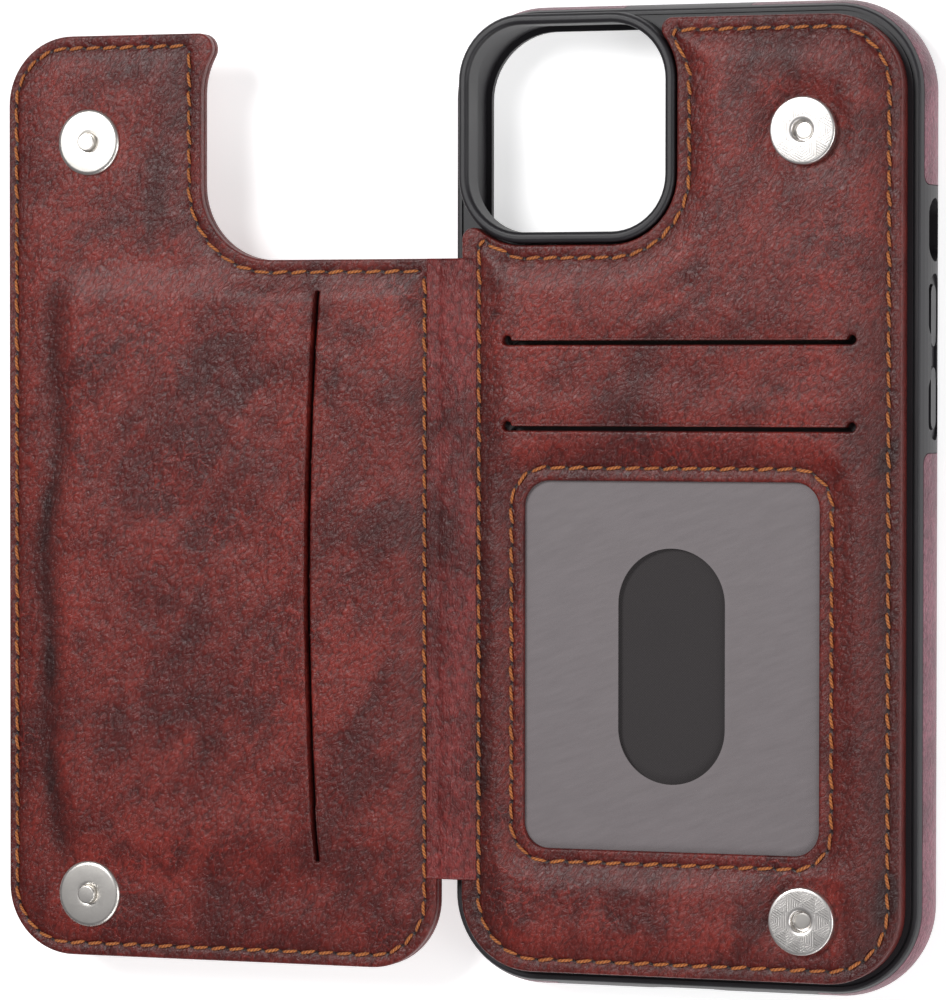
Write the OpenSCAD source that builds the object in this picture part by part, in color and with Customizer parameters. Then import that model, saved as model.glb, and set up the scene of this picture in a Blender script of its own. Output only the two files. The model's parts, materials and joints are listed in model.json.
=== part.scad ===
// Open wallet case: a moulded phone tray with a stitched leather card panel on its back and a
// leather flap that folds over the panel and closes on two magnetic clasps.
// It lies with the phone opening down and the leather up. +Y is the phone's top end and +X its
// volume-key side; z = 0 is the table. Flap and panel are level when the case is open.

/* [Phone] */
// Phone width
phone_w = 71.5; // [60:0.1:80]
// Phone length
phone_l = 147.6; // [130:0.1:165]
// Phone thickness
phone_t = 7.65; // [6:0.05:10]
// Phone corner radius
phone_r = 11.5; // [8:0.1:14]

/* [Tray] */
// Side wall thickness at mid height
wall_t = 2.6; // [2:0.1:3.4]
// How far the side wall draws in at its edges
wall_bulge = 1.1; // [0.6:0.1:1.6]
// Back wall thickness
back_t = 1.2; // [0.9:0.1:2]
// Height of the lip in front of the screen
lip_h = 1.0; // [0.6:0.1:2]
// How far the lip reaches over the screen
lip_in = 0.9; // [0.5:0.1:1.5]

/* [Camera] */
// Ring centre from the phone's side
cam_side = 17.3; // [15:0.05:24]
// Ring centre from the phone's top
cam_top = 16.5; // [15:0.05:24]
// Outside width of the raised ring
ring_w = 35.6; // [28:0.1:42]
// Corner radius of the ring
ring_r = 10.5; // [6:0.5:13]
// Width of the ring's rim
ring_rim = 1.7; // [1.4:0.1:3.2]
// Height of the ring above the tray's back
ring_h = 3.3; // [2:0.1:4.5]

/* [Cards] */
// Card width
card_w = 54; // [50:0.5:60]
// Card length
card_l = 85.6; // [70:0.1:95]
// Room for one card's thickness
card_gap = 0.8; // [0.6:0.05:1.5]
// Upper slit above the middle of the case
slit_y = 24; // [15:0.5:30]
// Distance between the two slits
slit_step = 13.3; // [10:0.1:18]
// Window width
window_w = 47.8; // [30:0.1:52]
// Window height
window_l = 57.2; // [40:0.1:62]

/* [Leather] */
// How far the panel stays in from the tray's side edges
panel_side = 1.9; // [1:0.1:4]
// How far the panel stays in from the tray's end edges
panel_end = 1.45; // [0.6:0.05:4]
// Thickness of the leather on the panel
facing_t = 0.9; // [0.6:0.05:1.5]
// Thickness of each leather of the flap
flap_skin_t = 0.8; // [0.5:0.05:1.5]
// How far the flap's top stays below the panel's
flap_top_in = 0.7; // [0:0.1:4]
// How far the flap's low edge passes the panel's
flap_low_out = 0.4; // [-2:0.1:1]
// Stitch line's distance from the cut edge
seam_in = 2.0; // [1.5:0.1:3]
// The same at the flap's free edge
free_seam_in = 1.4; // [1.2:0.1:3]
// The same at the panel's edge beside the fold
fold_seam_in = 2.9; // [1.5:0.1:4]
// Distance from one stitch to the next
stitch_pitch = 3.05; // [2:0.05:4]

/* [Clasps] */
// Clasp centre from the flap's free edge
clasp_side = 14.4; // [10:0.1:20]
// Upper clasp from the panel's top
clasp_top = 17.8; // [12:0.1:25]
// Lower clasp from the panel's bottom
clasp_low = 9.6; // [7:0.1:20]
// Radius of the magnetic half
socket_r = 5.2; // [4:0.1:7]
// Height of the magnetic half
socket_h = 1.5; // [1.2:0.1:2.5]
// Radius of the plain half
stud_r = 5.3; // [4:0.1:7]
// Height of the plain half
stud_h = 0.95; // [0.6:0.05:1.5]

/* [Hidden] */
$fn = 64;
// Running and mating clearances.
phone_gap = 0.15;
glue_gap = 0.05;
pad_gap = 0.2;
mate_gap = 0.05;
ring_gap = 0.35;

// Tray heights, from the table up.
cav_w = phone_w + 2 * phone_gap;
cav_l = phone_l + 2 * phone_gap;
cav_r = phone_r + phone_gap;
cav_top = lip_h + phone_t + phone_gap;
tray_h = cav_top + back_t;
mid_z = tray_h / 2;
bulge_r = (pow(mid_z, 2) + pow(wall_bulge, 2)) / (2 * wall_bulge);
edge_r = 0.5;

// Layers of the card panel, from the tray's back up.
board_t = 0.4;
lining_t = 0.3;
film_t = 0.2;
backing_z = tray_h;
divider_z = backing_z + board_t + card_gap;
facing_z = divider_z + lining_t + card_gap + film_t;
face_z = facing_z + facing_t;

// Layers of the flap, from its outside (below) up to the panel's level.
note_gap = 0.6;
stiffener_t = 0.5;
flap_inner_z = face_z - flap_skin_t;
flap_lining_z = flap_inner_z - note_gap - lining_t;
flap_board_z = flap_lining_z - stiffener_t;
flap_outer_z = flap_board_z - flap_skin_t;

// Plan positions. The fold line is the y axis of the flap and is hinge_x from the origin.
hinge_off = phone_w / 2 + 3.65;
panel_w = cav_w + 2 * (wall_t - wall_bulge - panel_side);
panel_l = cav_l + 2 * (wall_t - wall_bulge - panel_end);
panel_r = phone_r;
core_inset = 0.4;
flap_in = 0.9;
flap_edge = 0.3;
flap_reach = hinge_off + panel_w / 2 - flap_in;
flap_top = panel_l / 2 - flap_top_in;
flap_low = -panel_l / 2 - flap_low_out;
hinge_x = (flap_reach - hinge_off - cav_w / 2 - wall_t) / 2;
tray_x = hinge_x + hinge_off;
ring_x = tray_x - phone_w / 2 + cam_side;
ring_y = phone_l / 2 - cam_top;
closed_gap = stud_h + socket_h + mate_gap;
hinge_z = face_z + closed_gap / 2;

// Clasps mirror each other about the fold line.
clasp_x = flap_reach - clasp_side;
clasp_ys = [panel_l / 2 - clasp_top, clasp_low - panel_l / 2];

// Card slits, pockets and window.
slit_l = card_w + 1.6;
slit_t = 0.7;
punch_r = 0.75;
slit_ys = [slit_y, slit_y - slit_step];
pocket_w = card_w + 1.8;
card_shows = [12.5, 9.3];
window_x = tray_x - 1.3;
window_y = slit_ys[1] - 8.1 - window_l / 2;
window_r = 4;
thumb_w = 17.3;
thumb_l = 36.5;
film_hold = 3;

// Flap notch around the camera ring, and the flap's own pocket.
notch_side = 1.65;
notch_drop = 2.3;
notch_x = 2 * hinge_x - ring_x - ring_w / 2 - notch_side;
notch_y = ring_y - ring_w / 2 - notch_drop;
notch_top = ring_y + ring_w / 2 + 0.6;
notch_r = 12;
panel_tip_r = 1.8;
flap_tip_r = 2.4;
flap_r = 11;
note_x = hinge_x - 21;
note_top = notch_y - 5;
note_low = flap_low + 16.4;
note_bow = 1.6;

// Line pressed into the tray's back edge, by its distance out from the cavity.
rim_line_r = 0.45;
rim_line_t = 0.35;
crest_r = 0.7;

// Side wall openings, all centred on the wall's mid height.
mute_y = 41.2;
mute_l = 9.7;
key_h = 5.2;
key_floor = 2.0;
volume_y = 21.8;
volume_l = 25.5;
volume_step = 12.6;
power_y = 20.5;
power_l = 22;
pad_h = 2.8;
pad_flange = 0.6;
pad_flange_t = 0.8;
pad_proud = 0.35;
volume_pad_l = 9.4;
power_pad_l = 15;
port_w = 13;
port_h = 6.2;
speaker_w = 9;
speaker_h = 3.2;
speaker_x = 14.6;

// Leather inlays let into the side walls.
inlay_h = 7.8;
inlay_corner = 1.5;
inlay_t = 0.6;
inlay_gap = 2;
inlay_top_run = 14;
inlay_low_run = 3;
corner_y = cav_l / 2 - cav_r;

// ---- plan shapes ---------------------------------------------------------------------------

// Rectangle with round corners, centred.
module round_rect(w, l, r) {
  square([w - 2 * r, l], center = true);
  square([w, l - 2 * r], center = true);
  for (sx = [-1, 1], sy = [-1, 1])
    translate([sx * (w / 2 - r), sy * (l / 2 - r)]) circle(r);
}

// Slot with fully round ends, along x.
module stadium(l, h) {
  square([l - h, h], center = true);
  for (s = [-1, 1]) translate([s * (l - h) / 2, 0]) circle(h / 2);
}

// The camera ring's outline, grown by g.
module ring_outline(g) {
  translate([ring_x, ring_y]) round_rect(ring_w + 2 * g, ring_w + 2 * g, ring_r + g);
}

// Points along an arc about c, from angle a0 to a1.
arc_step = 5;
function arc(c, r, a0, a1) =
  let (n = ceil(abs(a1 - a0) / arc_step))
  [for (k = [0:n]) c + r * [cos(a0 + (a1 - a0) * k / n), sin(a0 + (a1 - a0) * k / n)]];
function heading(from, to) = atan2(to[1] - from[1], to[0] - from[0]);

// Where a round tip of radius t, with its centre dy above c or dx beside it, touches the
// circle (c, r) outside.
function tip_beside(c, r, t, dy, side) = c + [side * sqrt(pow(r + t, 2) - dy * dy), dy];
function tip_below(c, r, t, dx) = c + [dx, -sqrt(pow(r + t, 2) - dx * dx)];

// The card panel's outline, drawn in by g: it follows the camera ring and ends in a round tip
// on each side of it.
module panel_outline(g = 0) {
  left = tray_x - panel_w / 2;
  right = left + panel_w;
  end = panel_l / 2;
  r = ring_r + ring_gap;
  upper = [ring_x + ring_w / 2 - ring_r, ring_y + ring_w / 2 - ring_r];
  inner = [upper[0], ring_y - ring_w / 2 + ring_r];
  lower = [ring_x - ring_w / 2 + ring_r, inner[1]];
  top_tip = tip_beside(upper, r, panel_tip_r, end - panel_tip_r - upper[1], 1);
  low_tip = tip_below(lower, r, panel_tip_r, left + panel_tip_r - lower[0]);
  up = heading(upper, top_tip);
  low = heading(lower, low_tip);
  polygon(concat(
    arc([right - panel_r, panel_r - end], panel_r - g, -90, 0),
    arc([right - panel_r, end - panel_r], panel_r - g, 0, 90),
    arc(top_tip, panel_tip_r - g, 90, 180 + up),
    arc(upper, r + g, up, 0),
    arc(inner, r + g, 0, -90),
    arc(lower, r + g, -90, low),
    arc(low_tip, panel_tip_r - g, 180 + low, 180),
    arc([left + panel_r, panel_r - end], panel_r - g, 180, 270)));
}

// The flap's outline, drawn in by g: its notch clears the camera ring and curves out again
// below the top.
module flap_outline(g = 0) {
  left = hinge_x - flap_reach;
  right = hinge_x - flap_edge;
  corner = [notch_x + notch_r, notch_top - notch_r];
  tip = tip_beside(corner, notch_r, flap_tip_r, flap_top - flap_tip_r - corner[1], -1);
  out = heading(corner, tip);
  polygon(concat(
    arc([right - flap_r, flap_low + flap_r], flap_r - g, -90, 0),
    [[right - g, notch_y - g]],
    arc([notch_x + notch_r, notch_y + notch_r], notch_r + g, -90, -180),
    arc(corner, notch_r + g, 180, out),
    arc(tip, flap_tip_r - g, out - 180, 90),
    arc([left + flap_r, flap_top - flap_r], flap_r - g, 90, 180),
    arc([left + flap_r, flap_low + flap_r], flap_r - g, 180, 270)));
}

// What is cut away to round a corner at the origin whose body lies towards +x, +y.
module corner_trim(r) {
  polygon(concat([[-1, -1], [r, -1]], arc([r, r], r, 270, 180), [[-1, r]]));
}

// A card pocket's recess: open below the slit, closed round the card's foot.
module pocket_plan(i) {
  foot = slit_ys[i] + card_shows[i] - card_l - 1.9;
  top = slit_ys[i] + slit_t;
  translate([tray_x, (foot + top) / 2]) round_rect(pocket_w, top - foot, 2);
}

// Where card slit i passes through a layer: a slit with a small punched hole at each end.
module slit_plan(i) {
  translate([tray_x, slit_ys[i]]) {
    square([slit_l, slit_t], center = true);
    for (s = [-1, 1]) translate([s * slit_l / 2, punch_r - slit_t / 2]) circle(punch_r);
  }
}

// The flap's pocket recess, from the bowed slit to the free edge's seam.
module note_plan() {
  low = note_low - 6;
  left = hinge_x - flap_reach + 2 * seam_in;
  translate([(left + note_x + 2) / 2, (note_top + low) / 2])
    round_rect(note_x + 2 - left, note_top - low + 3, 2);
}

// The flap's long bowed slit, an arc through its two ends.
module note_slit_plan() {
  half = (note_top - note_low) / 2;
  r = (pow(half, 2) + pow(note_bow, 2)) / (2 * note_bow);
  a = asin(half / r);
  translate([note_x - note_bow / 2 + r, (note_top + note_low) / 2])
    intersection() {
      difference() {
        circle(r + slit_t / 2, $fn = 180);
        circle(r - slit_t / 2, $fn = 180);
      }
      translate([-2 * r, -half]) square([2 * r, 2 * half]);
    }
}

// Centres of the clasps: side is 1 on the panel and -1 on the flap.
module at_clasps(side) {
  for (y = clasp_ys) translate([hinge_x + side * clasp_x, y, 0]) children();
}

// ---- sweeps round the tray -----------------------------------------------------------------

// One side wall's run of a profile drawn as (distance out from the cavity, height).
module wall_run(half, y0, y1) {
  translate([half, y1, 0]) rotate([90, 0, 0]) linear_extrude(y1 - y0) children();
}

// A quarter turn of the profile round the corner at the cavity's +x, +y.
module corner_turn() {
  translate([cav_w / 2 - cav_r, corner_y, 0])
    rotate_extrude(angle = 90) translate([cav_r, 0]) children();
}

// The profile all the way round the cavity.
module wall_sweep() {
  for (mx = [0, 1], my = [0, 1]) mirror([mx, 0, 0]) mirror([0, my, 0]) corner_turn() children();
  for (a = [0, 180]) rotate(a) wall_run(cav_w / 2, -corner_y, corner_y) children();
  for (a = [90, 270]) rotate(a)
    wall_run(cav_l / 2, cav_r - cav_w / 2, cav_w / 2 - cav_r) children();
}

// The bowed wall with its edges rounded, overlapping the middle of the tray by a little, with a
// line pressed into its back edge.
module wall_profile() {
  centre = [wall_t - bulge_r, mid_z];
  rise = mid_z - edge_r;
  top = centre + [sqrt(pow(bulge_r - edge_r, 2) - rise * rise), rise];
  low = [top[0], edge_r];
  a = heading(centre, top);
  difference() {
    polygon(concat([[-2, 0]], arc(low, edge_r, -90, -a), arc(centre, bulge_r, -a, a),
                   arc(top, edge_r, a, 90), [[-2, tray_h]]));
    translate([rim_line_r, tray_h - rim_line_t]) square([rim_line_t, 1]);
  }
}

// A strip of the wall's outside, t deep and h high.
module strip_profile(t, h) {
  intersection() {
    difference() {
      circle_at_wall(bulge_r);
      circle_at_wall(bulge_r - t);
    }
    translate([0, mid_z - h / 2]) square([2 * wall_t, h]);
  }
}

module circle_at_wall(r) {
  translate([wall_t - bulge_r, mid_z]) circle(r, $fn = 180);
}

// A strip round one corner: down the side to y_end, where its corners are round, and along the
// end by run.
module corner_strip(right, top, y_end, run, grow) {
  t = inlay_t + (grow > 0 ? glue_gap : 0);
  h = inlay_h + 2 * grow;
  translate([tray_x, 0, 0]) mirror([right ? 0 : 1, 0, 0]) mirror([0, top ? 0 : 1, 0]) {
    corner_turn() strip_profile(t, h);
    rotate(90) wall_run(cav_l / 2, cav_r - cav_w / 2, cav_r - cav_w / 2 + run + grow)
      strip_profile(t, h);
    difference() {
      wall_run(cav_w / 2, y_end - grow, corner_y) strip_profile(t, h);
      for (s = [0, 1]) translate([cav_w / 2 - 1, y_end - grow, mid_z]) mirror([0, 0, s])
        translate([0, 0, -h / 2]) rotate([90, 0, 90]) linear_extrude(wall_t + 2)
          corner_trim(inlay_corner);
    }
  }
}

// The four inlays; each leaves room for the keys on its side.
module inlay(i, grow = 0) {
  mute_top = mute_y + mute_l / 2 + inlay_gap;
  volume_low = volume_y - volume_l / 2 - inlay_gap;
  power_top = power_y + power_l / 2 + inlay_gap;
  power_low = power_y - power_l / 2 - inlay_gap;
  if (i == 0) corner_strip(true, true, mute_top, inlay_top_run, grow);
  if (i == 1) corner_strip(true, false, -volume_low, inlay_low_run, grow);
  if (i == 2) corner_strip(false, true, power_top, inlay_top_run, grow);
  if (i == 3) corner_strip(false, false, -power_low, inlay_low_run, grow);
}

// ---- tray ----------------------------------------------------------------------------------

// A plan drawn in (y, z), cut into the right or left wall from r0 outwards.
module side_cut(right, y, r0, depth) {
  translate([tray_x, 0, 0]) mirror([right ? 0 : 1, 0, 0])
    translate([cav_w / 2 + r0, y, mid_z]) rotate([90, 0, 90]) linear_extrude(depth) children();
}

// A plan drawn in (x, z), cut through the bottom wall.
module end_cut(x) {
  translate([tray_x + x, -cav_l / 2 + 1, mid_z]) rotate([90, 0, 0])
    linear_extrude(wall_t + 2) children();
}

// The hourglass recess round a pair of keys, or a plain one for a single key.
module key_recess_plan(l, waist) {
  lobe = (l - (waist ? key_h : 0)) / (waist ? 2 : 1);
  for (s = waist ? [-1, 1] : [0]) translate([s * (l - lobe) / 2, 0]) stadium(lobe, key_h);
  if (waist) square([l / 2, key_h * 0.62], center = true);
}

module pad_holes(right, y, l) {
  side_cut(right, y, -1, wall_t + 2) stadium(l + 2 * pad_gap, pad_h + 2 * pad_gap);
  side_cut(right, y, -1, 1 + pad_flange_t + pad_gap)
    stadium(l + 2 * pad_flange + 2 * pad_gap, pad_h + 2 * pad_flange + 2 * pad_gap);
}

// The raised ring: a wall with a rounded crest, swept round the camera opening.
module camera_ring() {
  foot = tray_h - back_t / 2;
  crest = tray_h + ring_h;
  flat = ring_w / 2 - ring_r;
  translate([ring_x, ring_y, 0]) for (a = [0:90:270]) rotate(a) {
    translate([flat, flat, 0]) rotate_extrude(angle = 90) translate([ring_r, 0])
      ring_profile(foot, crest);
    translate([ring_w / 2, flat, 0]) rotate([90, 0, 0]) linear_extrude(2 * flat)
      ring_profile(foot, crest);
  }
}

module ring_profile(foot, crest) {
  polygon(concat([[-ring_rim, foot], [0, foot]],
                 arc([-crest_r, crest - crest_r], crest_r, 0, 90),
                 arc([crest_r - ring_rim, crest - crest_r], crest_r, 90, 180)));
}

module tray() {
  color("#151416") difference() {
    union() {
      translate([tray_x, 0, 0]) {
        linear_extrude(tray_h) round_rect(cav_w - 2, cav_l - 2, cav_r - 1);
        wall_sweep() wall_profile();
      }
      translate([0, 0, tray_h - back_t]) linear_extrude(back_t) ring_outline(0);
      camera_ring();
    }
    translate([tray_x, 0, lip_h]) linear_extrude(cav_top - lip_h) round_rect(cav_w, cav_l, cav_r);
    translate([tray_x, 0, -1]) linear_extrude(lip_h + 2)
      round_rect(cav_w - 2 * lip_in, cav_l - 2 * lip_in, cav_r - lip_in);
    translate([0, 0, cav_top - 1]) linear_extrude(back_t + 2) ring_outline(-ring_rim);
    side_cut(true, mute_y, -1, wall_t + 2) stadium(mute_l, key_h);
    side_cut(true, volume_y, key_floor, wall_t) key_recess_plan(volume_l, true);
    side_cut(false, power_y, key_floor, wall_t) key_recess_plan(power_l, false);
    for (s = [-1, 1]) pad_holes(true, volume_y + s * volume_step / 2, volume_pad_l);
    pad_holes(false, power_y, power_pad_l);
    end_cut(0) stadium(port_w, port_h);
    for (s = [-1, 1]) end_cut(s * speaker_x) stadium(speaker_w, speaker_h);
    for (i = [0:3]) inlay(i, 0.1);
  }
}

// A key pad: a flanged plug that slides in its hole and presses the phone's own key.
module key_pad(right, y, l) {
  side_cut(right, y, 0, key_floor + pad_proud) stadium(l, pad_h);
  side_cut(right, y, 0, pad_flange_t) stadium(l + 2 * pad_flange, pad_h + 2 * pad_flange);
}

module volume_up_pad() {
  color("#1d1b1e") key_pad(true, volume_y + volume_step / 2, volume_pad_l);
}

module volume_down_pad() {
  color("#1d1b1e") key_pad(true, volume_y - volume_step / 2, volume_pad_l);
}

module power_pad() {
  color("#1d1b1e") key_pad(false, power_y, power_pad_l);
}

module inlay_upper_right() {
  color("#5a1a16") inlay(0);
}

module inlay_lower_right() {
  color("#5a1a16") inlay(1);
}

module inlay_upper_left() {
  color("#5a1a16") inlay(2);
}

module inlay_lower_left() {
  color("#5a1a16") inlay(3);
}

// ---- card panel ----------------------------------------------------------------------------

// Board glued to the tray, with the rear card's recess in its top.
module panel_backing() {
  color("#2a2422") translate([0, 0, backing_z]) difference() {
    linear_extrude(divider_z - backing_z) panel_outline(core_inset);
    translate([0, 0, board_t]) linear_extrude(card_gap + 1) pocket_plan(0);
  }
}

// Lining between the cards, with the front card's recess and the film's seat in its top.
module pocket_divider() {
  color("#3a302c") translate([0, 0, divider_z]) difference() {
    linear_extrude(facing_z - divider_z) panel_outline(core_inset);
    translate([0, 0, lining_t]) linear_extrude(card_gap + film_t + 1) pocket_plan(1);
    translate([0, 0, lining_t + card_gap]) linear_extrude(film_t + 1)
      window_plan(film_hold + glue_gap);
    translate([0, 0, -1]) linear_extrude(4) slit_plan(0);
  }
}

module window_plan(g) {
  translate([window_x, window_y]) round_rect(window_w + 2 * g, window_l + 2 * g, window_r + g);
}

module window_film() {
  color("#c9c4bd90") translate([0, 0, facing_z - film_t]) linear_extrude(film_t) difference() {
    window_plan(film_hold);
    translate([window_x, window_y]) rotate(90) stadium(thumb_l, thumb_w);
  }
}

// The leather face with its slits, window and clasp holes.
module panel_facing() {
  color("#6a1d18") translate([0, 0, facing_z]) difference() {
    linear_extrude(facing_t) panel_outline();
    translate([0, 0, -1]) linear_extrude(facing_t + 2) {
      slit_plan(0);
      slit_plan(1);
      window_plan(0);
    }
    at_clasps(1) clasp_hole(facing_t);
  }
}

// How far the panel's seam draws back from a tip, and over what run.
tip_back = 3;
tip_run = 6;

// ---- stitching -----------------------------------------------------------------------------

// A stitch fills this share of its pitch; the rest goes down into the needle holes.
stitch_share = 0.82;
thread_w = 0.5;
thread_h = 0.25;

function unit(v) = v / norm(v);
function turn(a, b) = atan2(a[0] * b[1] - a[1] * b[0], a * b);

// Stitches laid end to end round a closed outline: corner points p with radii r.
module stitch_loop(p, r, z) {
  n = len(p);
  for (i = [0:n - 1]) {
    here = p[i];
    next = p[(i + 1) % n];
    after = p[(i + 2) % n];
    d = unit(next - here);
    d_in = unit(here - p[(i + n - 1) % n]);
    d_out = unit(after - next);
    a = turn(d, d_out);
    cut0 = r[i] * tan(abs(turn(d_in, d)) / 2);
    cut1 = r[(i + 1) % n] * tan(abs(a) / 2);
    stitch_line(here + cut0 * d, d, norm(next - here) - cut0 - cut1, z);
    stitch_arc(next - cut1 * d, d, r[(i + 1) % n], a, z);
  }
}

module stitch_line(start, d, l, z) {
  n = round(l / stitch_pitch);
  for (k = [1:1:n]) stitch(start + d * (k - 0.5) * l / n, atan2(d[1], d[0]), l / n, z);
}

module stitch_arc(start, d, r, a, z) {
  side = sign(a);
  centre = start + side * r * [-d[1], d[0]];
  l = r * abs(a) * PI / 180;
  n = round(l / stitch_pitch);
  for (k = [1:1:n]) {
    t = a * (k - 0.5) / n;
    heading = atan2(d[1], d[0]) + t;
    stitch(centre + side * r * [sin(heading), -cos(heading)], heading, l / n, z);
  }
}

// One bar of thread; pitch is the room it has along the seam.
module stitch(at, heading, pitch, z) {
  translate([at[0], at[1], z + thread_h / 2]) rotate(heading)
    cube([pitch * stitch_share, thread_w, thread_h], center = true);
}

module panel_stitching() {
  x0 = tray_x - panel_w / 2 + fold_seam_in;
  x1 = tray_x + panel_w / 2 - seam_in;
  y0 = seam_in - panel_l / 2;
  y1 = panel_l / 2 - seam_in;
  step_x = ring_x + ring_w / 2 + ring_gap + seam_in;
  step_y = ring_y - ring_w / 2 - ring_gap - seam_in;
  r = panel_r - seam_in;
  ring_seam_r = ring_r + ring_gap + seam_in;
  color("#c8642a")
    stitch_loop([[step_x - tip_back, y1], [step_x, y1 - tip_run], [step_x, step_y],
                 [x0 + tip_run, step_y], [x0, step_y + tip_back],
                 [x0, y0], [x1, y0], [x1, y1]],
                [0.8, tip_run, ring_seam_r, tip_run, 0.8, r, r, r], face_z);
}

module window_stitching() {
  x = window_w / 2 + seam_in;
  y = window_l / 2 + seam_in;
  r = window_r + seam_in;
  c = [window_x, window_y];
  color("#c8642a")
    stitch_loop([c + [x, y], c + [-x, y], c + [-x, -y], c + [x, -y]], [r, r, r, r], face_z);
}

module flap_stitching() {
  x0 = hinge_x - flap_reach + free_seam_in;
  x1 = hinge_x - flap_edge - seam_in;
  y0 = flap_low + seam_in;
  y1 = flap_top - seam_in;
  r = flap_r - seam_in;
  step_x = notch_x - seam_in;
  step_y = notch_y - seam_in;
  color("#c8642a")
    stitch_loop([[step_x, y1], [x0, y1], [x0, y0], [x1, y0], [x1, step_y], [step_x, step_y]],
                [0.8, r, r, r, 0.8, notch_r + seam_in], face_z);
}

// ---- clasps --------------------------------------------------------------------------------

shank_r = 1.0;
washer_r = 3.4;
washer_t = 0.3;
post_r = 1.45;
post_h = 1.05;
mouth_r = post_r + 0.2;
floor_t = 0.12;
head_t = 0.22;

// Hole for a clasp's shank and the washer let into the leather's underside.
module clasp_hole(t) {
  translate([0, 0, -1]) cylinder(h = t + 2, r = shank_r + glue_gap);
  translate([0, 0, -1]) cylinder(h = 1 + washer_t, r = washer_r + glue_gap);
}

module washer() {
  difference() {
    cylinder(h = washer_t, r = washer_r);
    translate([0, 0, -1]) cylinder(h = 3, r = shank_r + glue_gap);
  }
}

// Pressed cup of the magnetic half, open below round its clamped floor, with six engraved rays.
module socket_cover() {
  skin = 0.3;
  tube_r = mouth_r + 0.25;
  color("#b9b6b2") at_clasps(1) translate([0, 0, face_z]) difference() {
    rotate_extrude() polygon([[shank_r + glue_gap, 0], [tube_r, 0], [tube_r, socket_h - skin],
                              [socket_r - skin, socket_h - skin], [socket_r - skin, 0],
                              [socket_r, 0], [socket_r, socket_h - 0.35],
                              [socket_r - 0.35, socket_h], [mouth_r + 0.2, socket_h],
                              [mouth_r, socket_h - 0.2], [mouth_r, floor_t],
                              [shank_r + glue_gap, floor_t]]);
    for (a = [0:60:300]) rotate(a) translate([mouth_r + 0.6, -0.12, socket_h - 0.1])
      cube([socket_r - mouth_r - 1.2, 0.24, 1]);
  }
}

module socket_magnet() {
  r0 = mouth_r + 0.25 + glue_gap;
  r1 = socket_r - 0.3 - glue_gap;
  color("#6f6d6b") at_clasps(1) translate([0, 0, face_z]) difference() {
    cylinder(h = socket_h - 0.3 - glue_gap, r = r1);
    translate([0, 0, -1]) cylinder(h = socket_h + 2, r = r0);
  }
}

// Rivet whose flat head is seen at the bottom of the clasp's mouth.
module socket_rivet() {
  base = facing_t + floor_t;
  color("#8f8a84") at_clasps(1) translate([0, 0, facing_z]) {
    cylinder(h = base, r = shank_r);
    translate([0, 0, base]) cylinder(h = head_t, r = mouth_r - 0.3);
  }
}

module socket_washer() {
  color("#8f8a84") at_clasps(1) translate([0, 0, facing_z]) washer();
}

module stud_disc() {
  color("#b9b6b2") at_clasps(-1) translate([0, 0, face_z]) difference() {
    rotate_extrude() polygon([[0, 0], [stud_r, 0], [stud_r, stud_h - 0.3],
                              [stud_r - 0.5, stud_h], [0, stud_h]]);
    translate([0, 0, -1]) cylinder(h = 3, r = post_r);
  }
}

// Post and shank in one piece, pressed through the disc.
module stud_rivet() {
  color("#c4c1bd") at_clasps(-1) translate([0, 0, flap_inner_z]) {
    cylinder(h = flap_skin_t, r = shank_r);
    translate([0, 0, flap_skin_t]) cylinder(h = stud_h, r = post_r);
    translate([0, 0, flap_skin_t + stud_h]) rotate_extrude()
      polygon([[0, 0], [post_r, 0], [post_r, post_h - 0.25], [post_r - 0.25, post_h], [0, post_h]]);
  }
}

module stud_washer() {
  color("#8f8a84") at_clasps(-1) translate([0, 0, flap_inner_z]) washer();
}

// ---- hinge and flap ------------------------------------------------------------------------

// Leather between the panel and the fold line, at the panel's level and fixed to it.
module hinge_strip() {
  x0 = hinge_x + flap_edge;
  x1 = tray_x - panel_w / 2 - glue_gap;
  y0 = flap_low + flap_r + 3.4;
  color("#5f1b17") translate([x0, y0, facing_z])
    cube([x1 - x0, notch_y - y0, facing_t]);
}

module flap_outer() {
  color("#4d1714") translate([0, 0, flap_outer_z]) linear_extrude(flap_skin_t) flap_outline();
}

module flap_board() {
  color("#2a2422") translate([0, 0, flap_board_z]) linear_extrude(stiffener_t) flap_outline(core_inset);
}

// Lining with the flap pocket's recess in its top.
module flap_lining() {
  color("#3a302c") translate([0, 0, flap_lining_z]) difference() {
    linear_extrude(lining_t + note_gap) flap_outline(core_inset);
    translate([0, 0, lining_t]) linear_extrude(note_gap + 1) note_plan();
  }
}

module flap_inner() {
  color("#6a1d18") translate([0, 0, flap_inner_z]) difference() {
    linear_extrude(flap_skin_t) flap_outline();
    translate([0, 0, -1]) linear_extrude(flap_skin_t + 2) note_slit_plan();
    at_clasps(-1) clasp_hole(flap_skin_t);
  }
}

tray();
volume_up_pad();
volume_down_pad();
power_pad();
inlay_upper_right();
inlay_lower_right();
inlay_upper_left();
inlay_lower_left();
panel_backing();
pocket_divider();
window_film();
panel_facing();
panel_stitching();
window_stitching();
socket_cover();
socket_magnet();
socket_rivet();
socket_washer();
hinge_strip();
flap_outer();
flap_board();
flap_lining();
flap_inner();
flap_stitching();
stud_disc();
stud_rivet();
stud_washer();
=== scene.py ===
"""Looks of an open leather wallet case: stitched leather, pressed clasps, window and tray.

Every length is in metres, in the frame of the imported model: z = 0 is the table, +Y is the
phone's top end, and the flap turns about a line along Y just above the leather.
"""

import json
import logging
import math
from collections.abc import Callable
from dataclasses import dataclass, field
from enum import Enum

import bpy
import numpy as np
from mathutils import Matrix, Vector
from mathutils.geometry import delaunay_2d_cdt


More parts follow.
